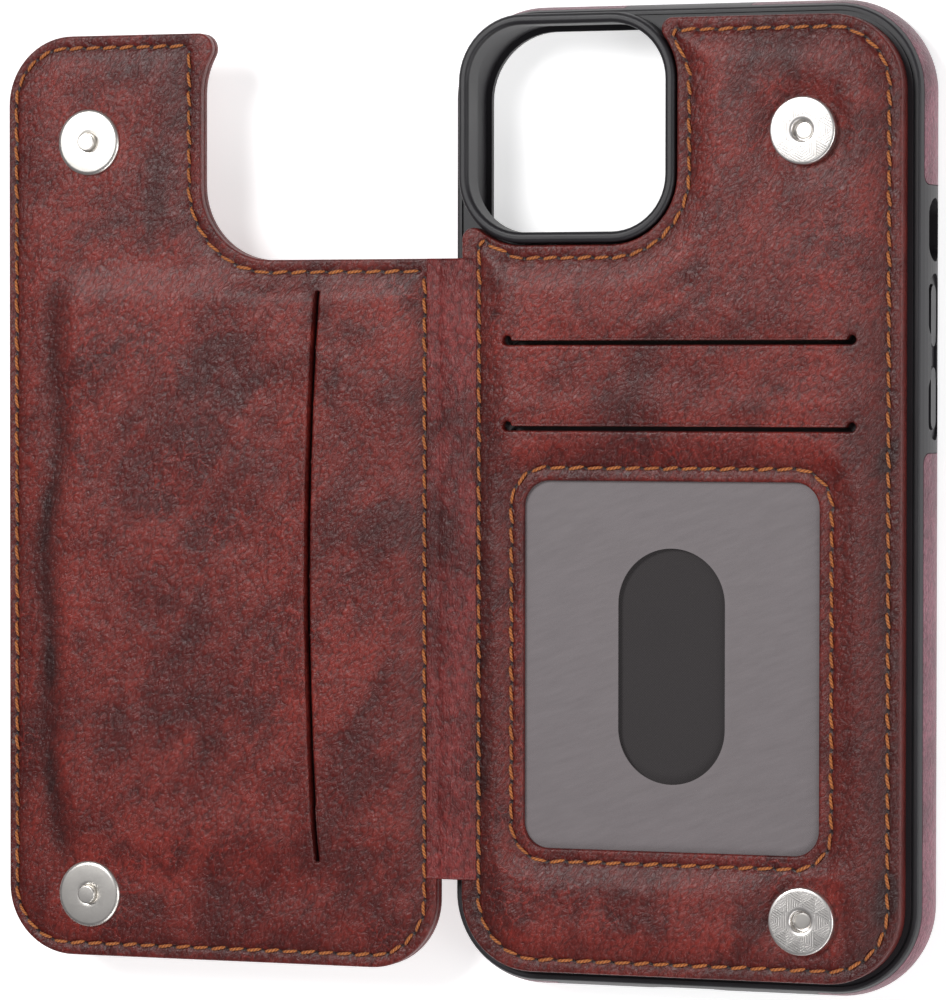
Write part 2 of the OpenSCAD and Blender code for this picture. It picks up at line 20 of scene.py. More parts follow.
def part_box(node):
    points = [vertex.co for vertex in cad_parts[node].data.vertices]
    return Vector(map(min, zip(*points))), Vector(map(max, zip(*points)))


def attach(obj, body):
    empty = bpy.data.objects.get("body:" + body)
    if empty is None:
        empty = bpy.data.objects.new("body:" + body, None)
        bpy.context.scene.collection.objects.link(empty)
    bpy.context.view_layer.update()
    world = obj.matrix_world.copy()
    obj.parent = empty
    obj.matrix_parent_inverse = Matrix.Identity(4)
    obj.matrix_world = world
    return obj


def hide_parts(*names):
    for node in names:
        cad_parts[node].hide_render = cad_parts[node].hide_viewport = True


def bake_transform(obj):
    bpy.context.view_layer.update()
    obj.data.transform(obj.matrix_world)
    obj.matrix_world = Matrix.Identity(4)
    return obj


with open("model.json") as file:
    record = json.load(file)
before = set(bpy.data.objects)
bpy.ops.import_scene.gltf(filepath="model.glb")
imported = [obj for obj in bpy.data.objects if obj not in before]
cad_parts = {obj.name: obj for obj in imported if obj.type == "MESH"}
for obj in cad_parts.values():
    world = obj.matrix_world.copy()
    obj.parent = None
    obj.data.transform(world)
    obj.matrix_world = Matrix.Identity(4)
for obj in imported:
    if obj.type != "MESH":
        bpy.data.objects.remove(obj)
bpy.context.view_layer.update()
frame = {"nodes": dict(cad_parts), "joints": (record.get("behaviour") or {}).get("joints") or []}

LOG = logging.getLogger("wallet_case")
MM = 0.001
CASE = "case"
FLAP = "flap"

Array = np.ndarray
Relief = Callable[["Cut", Array], Array]


def nothing(cut: "Cut", plan: Array) -> Array:
    """A relief or darkening of zero everywhere.

    Args:
        cut: distances at the plan points.
        plan: the plan points.

    Returns:
        A zero for each point.
    """
    return np.zeros(len(plan))


# ---- reading the frame ---------------------------------------------------------------------


def node_triangles(node: str) -> Array:
    """Corner points of a CAD node's triangles.

    Args:
        node: the CAD node's name.

    Returns:
        An array of shape (triangles, 3 corners, 3 coordinates).
    """
    mesh = frame["nodes"][node].data
    mesh.calc_loop_triangles()
    points = np.zeros(len(mesh.vertices) * 3, np.float32)
    mesh.vertices.foreach_get("co", points)
    corners = np.zeros(len(mesh.loop_triangles) * 3, np.int32)
    mesh.loop_triangles.foreach_get("vertices", corners)
    return points.reshape(-1, 3)[corners].reshape(-1, 3, 3).astype(float)


def fold_line() -> float:
    """The x of the line that the flap turns about."""
    joint = next(j for j in frame["joints"] if j["name"] == "flap_fold")
    return joint["pos_m"][0]


def chain(edges: Array) -> list[Array]:
    """Closed loops of vertex numbers from directed edges.

    Args:
        edges: pairs of vertex numbers, each vertex starting one edge.

    Returns:
        One array of vertex numbers for each loop.
    """
    after = dict(edges.tolist())
    loops = []
    while after:
        start, here = after.popitem()
        loop = [start]
        while here != start:
            loop.append(here)
            here = after.pop(here)
        loops.append(np.array(loop))
    return loops


def open_edges(triangles: Array) -> Array:
    """Directed edges that only one triangle has.

    Args:
        triangles: vertex numbers, three to a row.

    Returns:
        Pairs of vertex numbers, in the triangles' own direction.
    """
    edges = np.concatenate([triangles[:, [0, 1]], triangles[:, [1, 2]], triangles[:, [2, 0]]])
    size = int(edges.max()) + 1
    forward = edges[:, 0] * size + edges[:, 1]
    backward = edges[:, 1] * size + edges[:, 0]
    return edges[~np.isin(forward, backward)]


def face_outlines(node: str, z: float) -> list[Array]:
    """Outlines of a CAD node's flat face at height z, the longest one first.

    Args:
        node: the CAD node's name.
        z: the height of the face, whose normal points up.

    Returns:
        Closed loops of (x, y) points with the face on their left.
    """
    corners = node_triangles(node)
    flat = np.abs(corners[:, :, 2] - z).max(axis=1) < 0.01 * MM
    plan = corners[flat][:, :, :2]
    side_a, side_b = plan[:, 1] - plan[:, 0], plan[:, 2] - plan[:, 0]
    area = side_a[:, 0] * side_b[:, 1] - side_a[:, 1] * side_b[:, 0]
    plan[area < 0] = plan[area < 0][:, ::-1]
    keys = np.round(plan.reshape(-1, 2) / (0.001 * MM)).astype(np.int64)
    _, first, index = np.unique(keys, axis=0, return_index=True, return_inverse=True)
    points = plan.reshape(-1, 2)[first]
    loops = [points[ids] for ids in chain(open_edges(index.reshape(-1, 3)))]
    return sorted(loops, key=perimeter, reverse=True)


def perimeter(loop: Array) -> float:
    """Length round a closed loop of points.

    Args:
        loop: the points.

    Returns:
        The length.
    """
    return float(np.linalg.norm(np.roll(loop, -1, axis=0) - loop, axis=1).sum())


def resample(loop: Array, step: float) -> Array:
    """Points at even distances round a closed loop.

    Args:
        loop: the loop's points.
        step: the distance wanted between points.

    Returns:
        The new points, the first one where the loop starts.
    """
    closed = np.vstack([loop, loop[:1]])
    run = np.concatenate([[0], np.cumsum(np.linalg.norm(np.diff(closed, axis=0), axis=1))])
    count = max(12, round(run[-1] / step))
    at = np.arange(count) * run[-1] / count
    return np.stack([np.interp(at, run, closed[:, i]) for i in range(2)], axis=1)


def left_normals(loop: Array) -> Array:
    """Unit normals on the left of a closed loop, from each point's two neighbours.

    Args:
        loop: the points.

    Returns:
        One normal for each point.
    """
    along = np.roll(loop, -1, axis=0) - np.roll(loop, 1, axis=0)
    along /= np.maximum(np.linalg.norm(along, axis=1, keepdims=True), 1e-12)
    return np.stack([-along[:, 1], along[:, 0]], axis=1)


def inside(points: Array, loops: list[Array]) -> Array:
    """True where a point is inside the loops, by counting edges crossed to its right.

    Args:
        points: plan points.
        loops: closed loops, with holes as loops of their own.

    Returns:
        One truth value for each point.
    """
    hits = np.zeros(len(points), int)
    for loop in loops:
        after = np.roll(loop, -1, axis=0)
        for part in np.array_split(np.arange(len(points)), max(1, len(points) // 2000)):
            x, y = points[part, 0, None], points[part, 1, None]
            spans = (loop[:, 1] > y) != (after[:, 1] > y)
            rise = np.where(after[:, 1] == loop[:, 1], 1, after[:, 1] - loop[:, 1])
            cross = loop[:, 0] + (y - loop[:, 1]) * (after[:, 0] - loop[:, 0]) / rise
            hits[part] += (spans & (x < cross)).sum(axis=1)
    return hits % 2 == 1


def nearest(points: Array, marks: Array) -> Array:
    """Distance from each point to the nearest mark.

    Args:
        points: plan points.
        marks: the plan points measured to.

    Returns:
        One distance for each point.
    """
    found = np.full(len(points), 1.0)
    here, there = points.astype(np.float32), marks.astype(np.float32)
    for part in np.array_split(np.arange(len(points)), max(1, len(points) // 1500)):
        x = here[part, 0, None] - there[:, 0]
        y = here[part, 1, None] - there[:, 1]
        found[part] = np.sqrt((x * x + y * y).min(axis=1))
    return found


def smooth(x: Array, low: float, high: float) -> Array:
    """Smooth step from 0 at low to 1 at high.

    Args:
        x: the numbers.
        low: where the step starts.
        high: where it ends.

    Returns:
        Numbers of 0 to 1.
    """
    t = np.clip((x - low) / (high - low), 0, 1)
    return t * t * (3 - 2 * t)


# ---- meshes --------------------------------------------------------------------------------


def new_object(name: str, points: Array, faces: list, material: bpy.types.Material,
               values: dict[str, Array] | None = None, uv: Array | None = None) -> bpy.types.Object:
    """Makes a smooth mesh object at the origin.

    Args:
        name: the piece's name.
        points: vertex places, (n, 3).
        faces: vertex numbers of each face, outwards.
        material: the piece's finish.
        values: named numbers at each vertex, for the material to read.
        uv: (u, v) at each vertex.

    Returns:
        The new object.
    """
    mesh = bpy.data.meshes.new(name)
    mesh.from_pydata(np.asarray(points, float).tolist(), [], [list(f) for f in faces])
    mesh.polygons.foreach_set("use_smooth", np.ones(len(mesh.polygons), bool))
    for key, value in (values or {}).items():
        layer = mesh.attributes.new(key, "FLOAT", "POINT")
        layer.data.foreach_set("value", np.asarray(value, np.float32))
    if uv is not None:
        corners = np.zeros(len(mesh.loops), np.int32)
        mesh.loops.foreach_get("vertex_index", corners)
        mesh.uv_layers.new(name="UVMap").data.foreach_set("uv", uv[corners].ravel())
    mesh.materials.append(material)
    mesh.validate()
    mesh.update()
    thing = bpy.data.objects.new(name, mesh)
    bpy.context.scene.collection.objects.link(thing)
    return thing


def grid_faces(rows: int, cols: int, wrap_rows: bool = False, wrap_cols: bool = False) -> Array:
    """Quads over a grid of rows x cols vertices, which may close on itself either way.

    Args:
        rows: how many rows of vertices there are.
        cols: how many vertices a row has.
        wrap_rows: whether the last row joins the first.
        wrap_cols: whether each row's end joins its start.

    Returns:
        Vertex numbers, four to a row; rows x columns turning anticlockwise faces outwards.
    """
    r = np.arange(rows if wrap_rows else rows - 1)[:, None]
    c = np.arange(cols if wrap_cols else cols - 1)[None, :]
    r1, c1 = (r + 1) % rows, (c + 1) % cols
    corners = (r * cols + c, r * cols + c1, r1 * cols + c1, r1 * cols + c)
    quads = np.stack(np.broadcast_arrays(*corners), axis=-1)
    return quads.reshape(-1, 4)


def triangulate(points: Array, loops: list[Array]) -> Array:
    """Delaunay triangles of plan points, kept where they lie inside the loops.

    Args:
        points: plan points, with every loop's own points first, loop after loop.
        loops: the closed loops, whose edges are kept.

    Returns:
        Vertex numbers, three to a row, anticlockwise.
    """
    edges, start = [], 0
    for loop in loops:
        ids = start + np.arange(len(loop))
        edges += np.stack([ids, np.roll(ids, -1)], axis=1).tolist()
        start += len(loop)
    coords = [Vector(p) for p in (points / MM).tolist()]
    found, _, faces, origins, *_ = delaunay_2d_cdt(coords, edges, [], 0, 1e-6)
    source = np.array([ids[0] if ids else -1 for ids in origins])
    triangles = source[np.array([f for f in faces if len(f) == 3])]
    triangles = triangles[(triangles >= 0).all(axis=1)]
    a, b, c = (points[triangles[:, i]] for i in range(3))
    area = (b[:, 0] - a[:, 0]) * (c[:, 1] - a[:, 1]) - (b[:, 1] - a[:, 1]) * (c[:, 0] - a[:, 0])
    triangles[area < 0] = triangles[area < 0][:, ::-1]
    doubtful = (triangles < start).all(axis=1)
    kept = ~doubtful
    kept[doubtful] = inside(((a + b + c) / 3)[doubtful], loops)
    return triangles[kept]


BAR_CORNERS = 12 * 3


@dataclass
class Seam:
    """One run of stitches, read from its CAD node: each stitch's middle, direction and length."""

    node: str
    hole_out: float = 0.1 * MM
    middle: Array = field(init=False)
    heading: Array = field(init=False)
    length: Array = field(init=False)

    def __post_init__(self) -> None:
        """Finds the stitches: twelve triangles make each one's box."""
        boxes = node_triangles(self.node).reshape(-1, BAR_CORNERS, 3)
        self.middle = (boxes.max(axis=1) + boxes.min(axis=1)) / 2
        plan = boxes[:, :, :2] - self.middle[:, None, :2]
        spread = np.einsum("nij,nik->njk", plan, plan)
        self.heading = np.linalg.eigh(spread)[1][:, :, 1]
        along = np.einsum("nij,nj->ni", plan, self.heading)
        self.length = np.ptp(along, axis=1)[:, None]

    def needle_holes(self) -> Array:
        """Plan places of the holes at both ends of every stitch."""
        reach = self.heading * (self.length / 2 + self.hole_out)
        return np.concatenate([self.middle[:, :2] - reach, self.middle[:, :2] + reach])

    def line_points(self) -> Array:
        """Plan points along the middle of every stitch."""
        parts = np.linspace(-0.6, 0.6, 5)[:, None, None]
        return (self.middle[None, :, :2] + parts * self.heading[None] * self.length).reshape(-1, 2)


ROW = math.sqrt(3) / 2
RING_INSETS = [inset * MM for inset in (0, 0.03, 0.1, 0.2, 0.36, 0.6)]


def lattice(nodes: Array, step: float) -> Array:
    """Places of a triangular lattice's nodes: rows ROW steps apart, every other one moved by
    half a step.

    Args:
        nodes: whole numbers of column and row.
        step: the distance between nodes.

    Returns:
        Plan points.
    """
    x = nodes[:, 0] + (nodes[:, 1] % 2) * 0.5
    return np.stack([x, nodes[:, 1] * ROW], axis=1) * step


@dataclass
class Cut:
    """Where a sheet's plan points lie: distances to its cut edge, seam lines and holes."""

    edge: Array
    rim: Array
    seam: Array
    hole: Array


@dataclass
class Sheet:
    """A leather sheet cut to a CAD node's outline, made as one closed skin.

    The shown face is a height over the plan: a quarter round at every cut edge, a groove
    along the seams with a dimple at each needle hole, and the relief that the caller adds.
    The outer rim is turned over the layers behind it, down to the skirt.
    """

    name: str
    node: str
    seams: list[Seam]
    skirt: float
    relief: Relief
    # A darkening of the colour over the plan: painted shade on the flap, darker margins on the panel.
    darkening: Relief = nothing
    faces_up: bool = True
    edge_round: float = 0.38 * MM
    turned_in: float = 0.38 * MM
    rim_step: float = 0.42 * MM
    fine: float = 0.36 * MM
    coarse: float = 1.1 * MM
    groove_depth: float = 0.17 * MM
    groove_width: float = 0.62 * MM
    dimple_depth: float = 0.26 * MM
    dimple_width: float = 0.3 * MM

    def levels(self) -> tuple[float, float]:
        """Heights of the shown face and of the hidden one."""
        low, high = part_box(self.node)
        return (high.z, low.z) if self.faces_up else (low.z, high.z)

    def plan(self, loops: list[Array]) -> tuple[Array, int]:
        """Plan points: rings by every edge, a fine grid along the seams, a coarse one between.

        Args:
            loops: the resampled outlines, the outer one first.

        Returns:
            The points and how many of them are on the loops.
        """
        rings = [loop + left_normals(loop) * inset for inset in RING_INSETS for loop in loops]
        low, high = loops[0].min(axis=0), loops[0].max(axis=0)
        marks = np.concatenate([seam.line_points() for seam in self.seams])
        reach = 1.15 * MM
        cells = math.ceil(reach / (self.fine * ROW)) + 1
        steps = np.arange(-cells, cells + 1)
        offsets = np.stack(np.meshgrid(steps, steps), axis=-1)
        nodes = np.round(marks / (self.fine * np.array([1, ROW]))).astype(int)
        nodes = np.unique((nodes[:, None] + offsets.reshape(-1, 2)).reshape(-1, 2), axis=0)
        fine = lattice(nodes, self.fine)
        wide, tall = np.ceil((high - low) / (self.coarse * np.array([1, ROW]))).astype(int)
        start = np.floor(low / (self.coarse * np.array([1, ROW]))).astype(int)
        nodes = np.stack(np.meshgrid(np.arange(wide + 1), np.arange(tall + 1)), axis=-1).reshape(-1, 2)
        coarse = lattice(nodes + start, self.coarse)
        beside = fine[nearest(fine, marks) < reach]
        between = coarse[nearest(coarse, marks) > reach]
        grid = np.concatenate([beside, between])
        edges = np.concatenate([resample(loop, 0.3 * MM) for loop in loops])
        grid = grid[nearest(grid, edges) > 0.75 * MM]
        grid = grid[inside(grid, [resample(loop, 1.0 * MM) for loop in loops])]
        return np.concatenate(rings + [grid]), sum(len(loop) for loop in loops)

    def build(self, material: bpy.types.Material) -> bpy.types.Object:
        """Makes the sheet's skin: shown face, rim, turned edge and hidden face.

        Args:
            material: the leather it is cut from.

        Returns:
            The new object.
        """
        face, back = self.levels()
        sign = 1 if self.faces_up else -1
        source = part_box(self.node)[1].z
        loops = [resample(loop, self.rim_step) for loop in face_outlines(self.node, source)]
        plan, on_edge = self.plan(loops)
        triangles = triangulate(plan, loops)
        cut = self.measure(plan, loops)
        out = np.clip(1 - cut.edge / self.edge_round, 0, 1)
        height = -self.edge_round * (1 - np.sqrt(1 - out * out))
        height -= self.groove_depth * np.exp(-((cut.seam / self.groove_width) ** 2))
        height -= self.dimple_depth * np.exp(-((cut.hole / self.dimple_width) ** 2))
        height += self.relief(cut, plan)
        top = np.column_stack([plan, face + sign * height])
        walls, faces = self.walls(loops, face - sign * self.edge_round, back, sign, len(top))
        hidden = triangulate(plan[:on_edge], loops)
        base = len(top) + len(walls) - on_edge
        order = slice(None) if self.faces_up else slice(None, None, -1)
        mesh_faces = [*triangles[:, order].tolist(), *faces[:, order].tolist(),
                      *(hidden + base)[:, ::-1][:, order].tolist()]
        grow = len(walls)
        # Marks for the leather's colour: edge paint, painted shade in needle holes and beside seams, and
        # the sheet's painted shade and darker margins.
        values = {"edge": np.concatenate([np.exp(-cut.rim / (0.5 * MM)), np.ones(grow)]),
                  "needle": np.concatenate([np.exp(-((cut.hole / (0.34 * MM)) ** 2)), np.zeros(grow)]),
                  "seam": np.concatenate([np.exp(-((cut.seam / (1.9 * MM)) ** 2)), np.zeros(grow)]),
                  "shade_and_darkening": np.concatenate([self.darkening(cut, plan), np.zeros(grow)])}
        return new_object(self.name, np.concatenate([top, walls]), mesh_faces, material, values)

    def measure(self, plan: Array, loops: list[Array]) -> Cut:
        """Distances from plan points to the cut edges, the outer rim, seams and holes.

        Args:
            plan: the plan points, the rings by every edge first.
            loops: the resampled outlines.

        Returns:
            The distances.
        """
        edges = [resample(loop, 0.35 * MM) for loop in loops]
        seam = nearest(plan, np.concatenate([s.line_points() for s in self.seams]))
        hole = nearest(plan, np.concatenate([s.needle_holes() for s in self.seams]))
        rim = nearest(plan, edges[0])
        edge = np.minimum(rim, nearest(plan, np.concatenate(edges[1:]))) if edges[1:] else rim.copy()
        count, outer = sum(len(loop) for loop in loops), len(loops[0])
        for number, inset in enumerate(RING_INSETS):
            edge[number * count:(number + 1) * count] = inset
            rim[number * count:number * count + outer] = inset
        return Cut(edge, rim, seam, hole)

    def walls(self, loops: list[Array], crest: float, back: float, sign: int,
              offset: int) -> tuple[Array, Array]:
        """Rows of vertices down every cut edge, ending on the hidden face.

        Each row is the loop moved inwards and set to a height. The outer loop goes down to
        the skirt and in under the layers; holes go straight to the hidden face.

        Args:
            loops: the resampled outlines, the outer one first.
            crest: the height where the quarter round of the shown face ends.
            back: the height of the hidden face.
            sign: 1 where the shown face points up.
            offset: how many vertices the shown face has.

        Returns:
            The new vertices, the last row of every loop at the end, and the quads.
        """
        soft = 0.15 * MM
        rim = [(0, self.skirt + sign * soft), (soft, self.skirt), (self.turned_in, self.skirt),
               (self.turned_in, back)]
        hole = [(0, (crest + back) / 2), (0, back + sign * soft), (0.02 * MM, back + sign * 0.02 * MM),
                (0.03 * MM, back)]
        rows, quads, start = [], [], 0
        total = sum(len(loop) for loop in loops)
        for number in range(len(rim)):
            for index, loop in enumerate(loops):
                inset, z = (rim if index == 0 else hole)[number]
                moved = loop + left_normals(loop) * inset
                rows.append(np.column_stack([moved, np.full(len(loop), z)]))
        for loop in loops:
            count = len(loop)
            here = start + np.arange(count)
            for number in range(len(rim)):
                upper = here if number == 0 else offset + (number - 1) * total + here
                lower = offset + number * total + here
                quads.append(np.stack([upper, lower, np.roll(lower, -1), np.roll(upper, -1)], axis=1))
            start += count
        return np.concatenate(rows), np.concatenate(quads)


# ---- shader graph --------------------------------------------------------------------------


class Value:
    """A shader socket whose arithmetic adds Math nodes."""

    def __init__(self, shader: "Shader", socket: bpy.types.NodeSocket) -> None:
        """Wraps one output socket of a shader's node.

        Args:
            shader: the shader that the socket belongs to.
            socket: the output socket.
        """
        self.shader = shader
        self.socket = socket

    def __add__(self, other: "Value | float") -> "Value":
        """Sum."""
        return self.shader.math("ADD", self, other)

    def __sub__(self, other: "Value | float") -> "Value":
        """Difference."""
        return self.shader.math("SUBTRACT", self, other)

    def __rsub__(self, other: float) -> "Value":
        """Difference from a number."""
        return self.shader.math("SUBTRACT", other, self)

    def __mul__(self, other: "Value | float") -> "Value":
        """Product."""
        return self.shader.math("MULTIPLY", self, other)

    __radd__ = __add__
    __rmul__ = __mul__

    def __truediv__(self, other: "Value | float") -> "Value":
        """Quotient."""
        return self.shader.math("DIVIDE", self, other)

    def step(self, low: float, high: float) -> "Value":
        """Smooth step from 0 at low to 1 at high.

        Args:
            low: where the step starts.
            high: where it ends.

        Returns:
            A value of 0 to 1.
        """
        node = self.shader.node("ShaderNodeMapRange", {"interpolation_type": "SMOOTHSTEP"},
                                {"Value": self, "From Min": low, "From Max": high})
        return Value(self.shader, node.outputs["Result"])

    def ridge(self) -> "Value":
        """1 where a value of 0 to 1 is 0.5, falling to 0 at both ends."""
        return 1 - self.shader.math("ABSOLUTE", self * 2 - 1)


class Shader:
    """A material under construction: one Principled shader and the nodes that feed it."""

    def __init__(self, name: str) -> None:
        """Starts an empty material of that name."""
        self.material = bpy.data.materials.new(name)
        self.material.use_nodes = True
        self.tree = self.material.node_tree
        self.tree.nodes.clear()
        self.output = self.tree.nodes.new("ShaderNodeOutputMaterial")
        self.surface = self.tree.nodes.new("ShaderNodeBsdfPrincipled")
        self.tree.links.new(self.surface.outputs[0], self.output.inputs["Surface"])

    def node(self, kind: str, settings: dict, inputs: dict) -> bpy.types.Node:
        """Adds a node.

        Args:
            kind: the node's type.
            settings: attributes, which are set first.
            inputs: a value or link for each socket, by name or number.

        Returns:
            The new node.
        """
        node = self.tree.nodes.new(kind)
        for key, value in settings.items():
            setattr(node, key, value)
        for key, value in inputs.items():
            self.feed(node.inputs[key], value)
        return node

    def feed(self, socket: bpy.types.NodeSocket, value: object) -> None:
        """Links a Value to a socket, or sets the socket to a plain value.

        Args:
            socket: the input socket.
            value: a Value or a plain value.
        """
        if isinstance(value, Value):
            self.tree.links.new(value.socket, socket)
        else:
            socket.default_value = value

    def math(self, operation: str, *values: "Value | float") -> Value:
        """One Math node.

        Args:
            operation: what the node works out.
            values: its inputs.

        Returns:
            The result.
        """
        node = self.node("ShaderNodeMath", {"operation": operation}, dict(enumerate(values)))
        return Value(self, node.outputs[0])

    def mix(self, factor: "Value | float", a: object, b: object) -> Value:
        """Colour between a and b.

        Args:
            factor: 0 for a and 1 for b.
            a: the first colour.
            b: the second colour.

        Returns:
            The mixed colour.
        """
        node = self.node("ShaderNodeMix", {"data_type": "RGBA"}, {0: factor, 6: a, 7: b})
        return Value(self, node.outputs[2])

    def place(self) -> Value:
        """Object coordinates, in metres."""
        node = self.node("ShaderNodeTexCoord", {}, {})
        return Value(self, node.outputs["Object"])

    def uv(self) -> Value:
        """The piece's own UV map."""
        node = self.node("ShaderNodeUVMap", {"uv_map": "UVMap"}, {})
        return Value(self, node.outputs[0])

    def attribute(self, name: str) -> Value:
        """A number stored at the vertices.

        Args:
            name: the attribute's name.

        Returns:
            The number.
        """
        node = self.node("ShaderNodeAttribute", {"attribute_name": name}, {})
        return Value(self, node.outputs["Fac"])

    def stretched(self, vector: Value, longer: tuple[float, float, float],
                  turn: float = 0.0) -> Value:
        """A vector whose patterns come out longer along axes turned about z by turn degrees.

        Args:
            vector: the vector.
            longer: how many times longer along each axis.
            turn: degrees about z.

        Returns:
            The new vector.
        """
        node = self.node("ShaderNodeMapping", {"vector_type": "TEXTURE"},
                         {"Vector": vector, "Rotation": (0, 0, math.radians(turn)), "Scale": longer})
        return Value(self, node.outputs[0])

    def warped(self, vector: Value, size: float, reach: float) -> Value:
        """A vector moved by up to about reach, by noise whose features are size across.

        Args:
            vector: the vector.
            size: the noise's features in metres.
            reach: the longest move in metres.

        Returns:
            The moved vector.
        """
        node = self.node("ShaderNodeTexNoise", {}, {"Vector": vector, "Scale": 1 / size, "Detail": 2})
        shift = self.node("ShaderNodeVectorMath", {"operation": "MULTIPLY_ADD"},
                          {0: Value(self, node.outputs["Color"]), 1: (reach,) * 3, 2: vector})
        return Value(self, shift.outputs[0])

    def noise(self, vector: Value, size: float, detail: float = 3, rough: float = 0.5,
              twist: float = 0) -> Value:
        """Noise whose features are about size metres across.

        Args:
            vector: where it is read.
            size: the features in metres.
            detail: how many finer layers it has.
            rough: how strong the finer layers are.
            twist: how far it is distorted.

        Returns:
            A value of 0 to 1.
        """
        node = self.node("ShaderNodeTexNoise", {},
                         {"Vector": vector, "Scale": 1 / size, "Detail": detail,
                          "Roughness": rough, "Distortion": twist})
        return Value(self, node.outputs["Fac"])

    def cells(self, vector: Value, size: float, edges: bool = False) -> Value:
        """Distance in cells about size metres across, from their middles or their edges.

        Args:
            vector: where it is read.
            size: the cells in metres.
            edges: whether to measure from the edges.

        Returns:
            The distance, as a share of size.
        """
        kind = "DISTANCE_TO_EDGE" if edges else "F1"
        node = self.node("ShaderNodeTexVoronoi", {"feature": kind},
                         {"Vector": vector, "Scale": 1 / size})
        return Value(self, node.outputs["Distance"])

    def split(self, vector: Value) -> list[Value]:
        """The x, y and z of a vector."""
        node = self.node("ShaderNodeSeparateXYZ", {}, {0: vector})
        return [Value(self, out) for out in node.outputs]

    def bump(self, height: Value, depth: float, under: Value | None = None) -> Value:
        """A normal from a height map of 0 to 1 that stands for depth metres.

        Args:
            height: the height map.
            depth: the height in metres.
            under: a normal that this one adds to.

        Returns:
            The normal.
        """
        node = self.node("ShaderNodeBump", {}, {"Height": height, "Distance": depth, "Strength": 1.0})
        if under is not None:
            self.feed(node.inputs["Normal"], under)
        return Value(self, node.outputs[0])

    def done(self, **inputs: object) -> bpy.types.Material:
        """Sets the Principled sockets, named with _ for spaces, and returns the material."""
        for key, value in inputs.items():
            self.feed(self.surface.inputs[key.replace("_", " ")], value)
        return self.material


Colour = tuple[float, float, float]


def colour(red: float, green: float, blue: float) -> tuple[float, float, float, float]:
    """A screen colour of 0 to 255 a channel, as the linear colour that a shader takes.

    Args:
        red: the red channel.
        green: the green channel.
        blue: the blue channel.

    Returns:
        Red, green, blue and an alpha of 1.
    """
    channels = [c / 255 for c in (red, green, blue)]
    linear = [c / 12.92 if c <= 0.04045 else ((c + 0.055) / 1.055) ** 2.4 for c in channels]
    return (*linear, 1.0)


def shade(tone: Colour, share: float, lift: float = 0.0) -> tuple[float, float, float, float]:
    """A lighter or darker version of a screen colour.

    Args:
        tone: the colour, 0 to 255 a channel.
        share: what each channel is multiplied by.
        lift: what is then added to it.

    Returns:
        The linear colour that a shader takes.
    """
    return colour(*[c * share + lift for c in tone])


# ---- finishes ------------------------------------------------------------------------------


class Grain(Enum):
    """How coarse a leather's grain is: the size of its pebbles in metres."""

    FINE = 0.62 * MM
    COARSE = 0.85 * MM


@dataclass(frozen=True)
class Leather:
    """Waxed leather: mottled colour, dark burnished patches, drawn creases and a pebbled grain."""

    name: str
    light: Colour
    deep: Colour
    dark: Colour
    grain: Grain = Grain.FINE
    # Whether it reads the sheet's marks: edge paint, painted shade and darker margins.
    shade_and_edge_marks: bool = True
    draw: float = -38.0

    def material(self) -> bpy.types.Material:
        """Builds the leather.

        Colour: clouds between deep and light, dark in burnished patches at random, with a pale
        crackle where it is polished. Painted shade darkens it in the grain's crevices and creases,
        beside seams, in needle holes and along the flap pocket's foot; the panel is also darker
        beside its window and slits.
        Height: warped cells for pebbles, ridged noise drawn out one way for creases, and
        slow swells.

        Returns:
            The material.
        """
        s = Shader(self.name)
        at = s.place()
        loose = s.warped(at, 2.2 * MM, 0.9 * MM)
        broad = s.noise(at, 36 * MM, 2, 0.5, 0.3).step(0.36, 0.64)
        cloud = s.noise(s.stretched(at, (1, 1.5, 1), self.draw), 11 * MM, 5, 0.62, 0.5)
        mottle = s.noise(s.stretched(loose, (1, 1.8, 1), self.draw), 3.4 * MM, 4, 0.6)
        pebble = s.cells(s.stretched(loose, (1, 1.5, 1), self.draw), self.grain.value)
        crease = s.noise(s.stretched(loose, (1, 3.2, 1), self.draw), 0.8 * MM, 3, 0.6).ridge()
        fine = s.noise(loose, 0.4 * MM, 3, 0.65)
        net = s.cells(s.warped(at, 3 * MM, 2.4 * MM), 2.7 * MM, edges=True)
        polished = s.noise(at, 17 * MM, 3, 0.5).step(0.5, 0.62)
        crackle = (1 - net.step(0.0, 0.06)) * polished
        tone = cloud.step(0.34, 0.68) * 0.6 + broad * 0.25 + mottle.step(0.3, 0.75) * 0.3
        base = s.mix(tone.step(0.15, 0.95), colour(*self.deep), colour(*self.light))
        base = s.mix(cloud.step(0.5, 0.3) * 0.55, base, colour(*self.dark))
        base = s.mix(crackle * 0.4, base, shade(self.light, 1.25))
        # Painted shade: darker in the grain's crevices and along the creases.
        base = s.mix(pebble.step(0.35, 0.85) * 0.4 + crease.step(0.86, 1.0) * 0.3, base,
                     colour(*self.dark))
        rough = 0.33 + mottle * 0.1 + fine * 0.08
        if self.shade_and_edge_marks:
            # Painted shade beside the seams and along the flap pocket's foot, and darker colour beside
            # the panel's window and slits.
            shade_and_darkening = s.attribute("shade_and_darkening") + s.attribute("seam") * 0.55
            base = s.mix(shade_and_darkening * (0.35 + cloud.step(0.3, 0.7)) * 0.8, base, colour(*self.dark))
            base = s.mix(s.attribute("edge").step(0.4, 1.0) * 0.45, base, colour(*self.deep))
            # Painted shade: near black in the needle holes.
            base = s.mix(s.attribute("needle").step(0.25, 0.8) * 0.92, base, colour(18, 6, 5))
        relief = pebble * -0.6 + fine * 0.35 + crease.step(0.7, 1.0) * -0.45
        normal = s.bump(s.noise(at, 6 * MM, 3, 0.5), 0.4 * MM)
        normal = s.bump(relief, self.grain.value * 0.24, normal)
        return s.done(Base_Color=base, Roughness=rough, Normal=normal, Coat_Weight=0.05,
                      Coat_Roughness=0.3, Specular_IOR_Level=0.45)


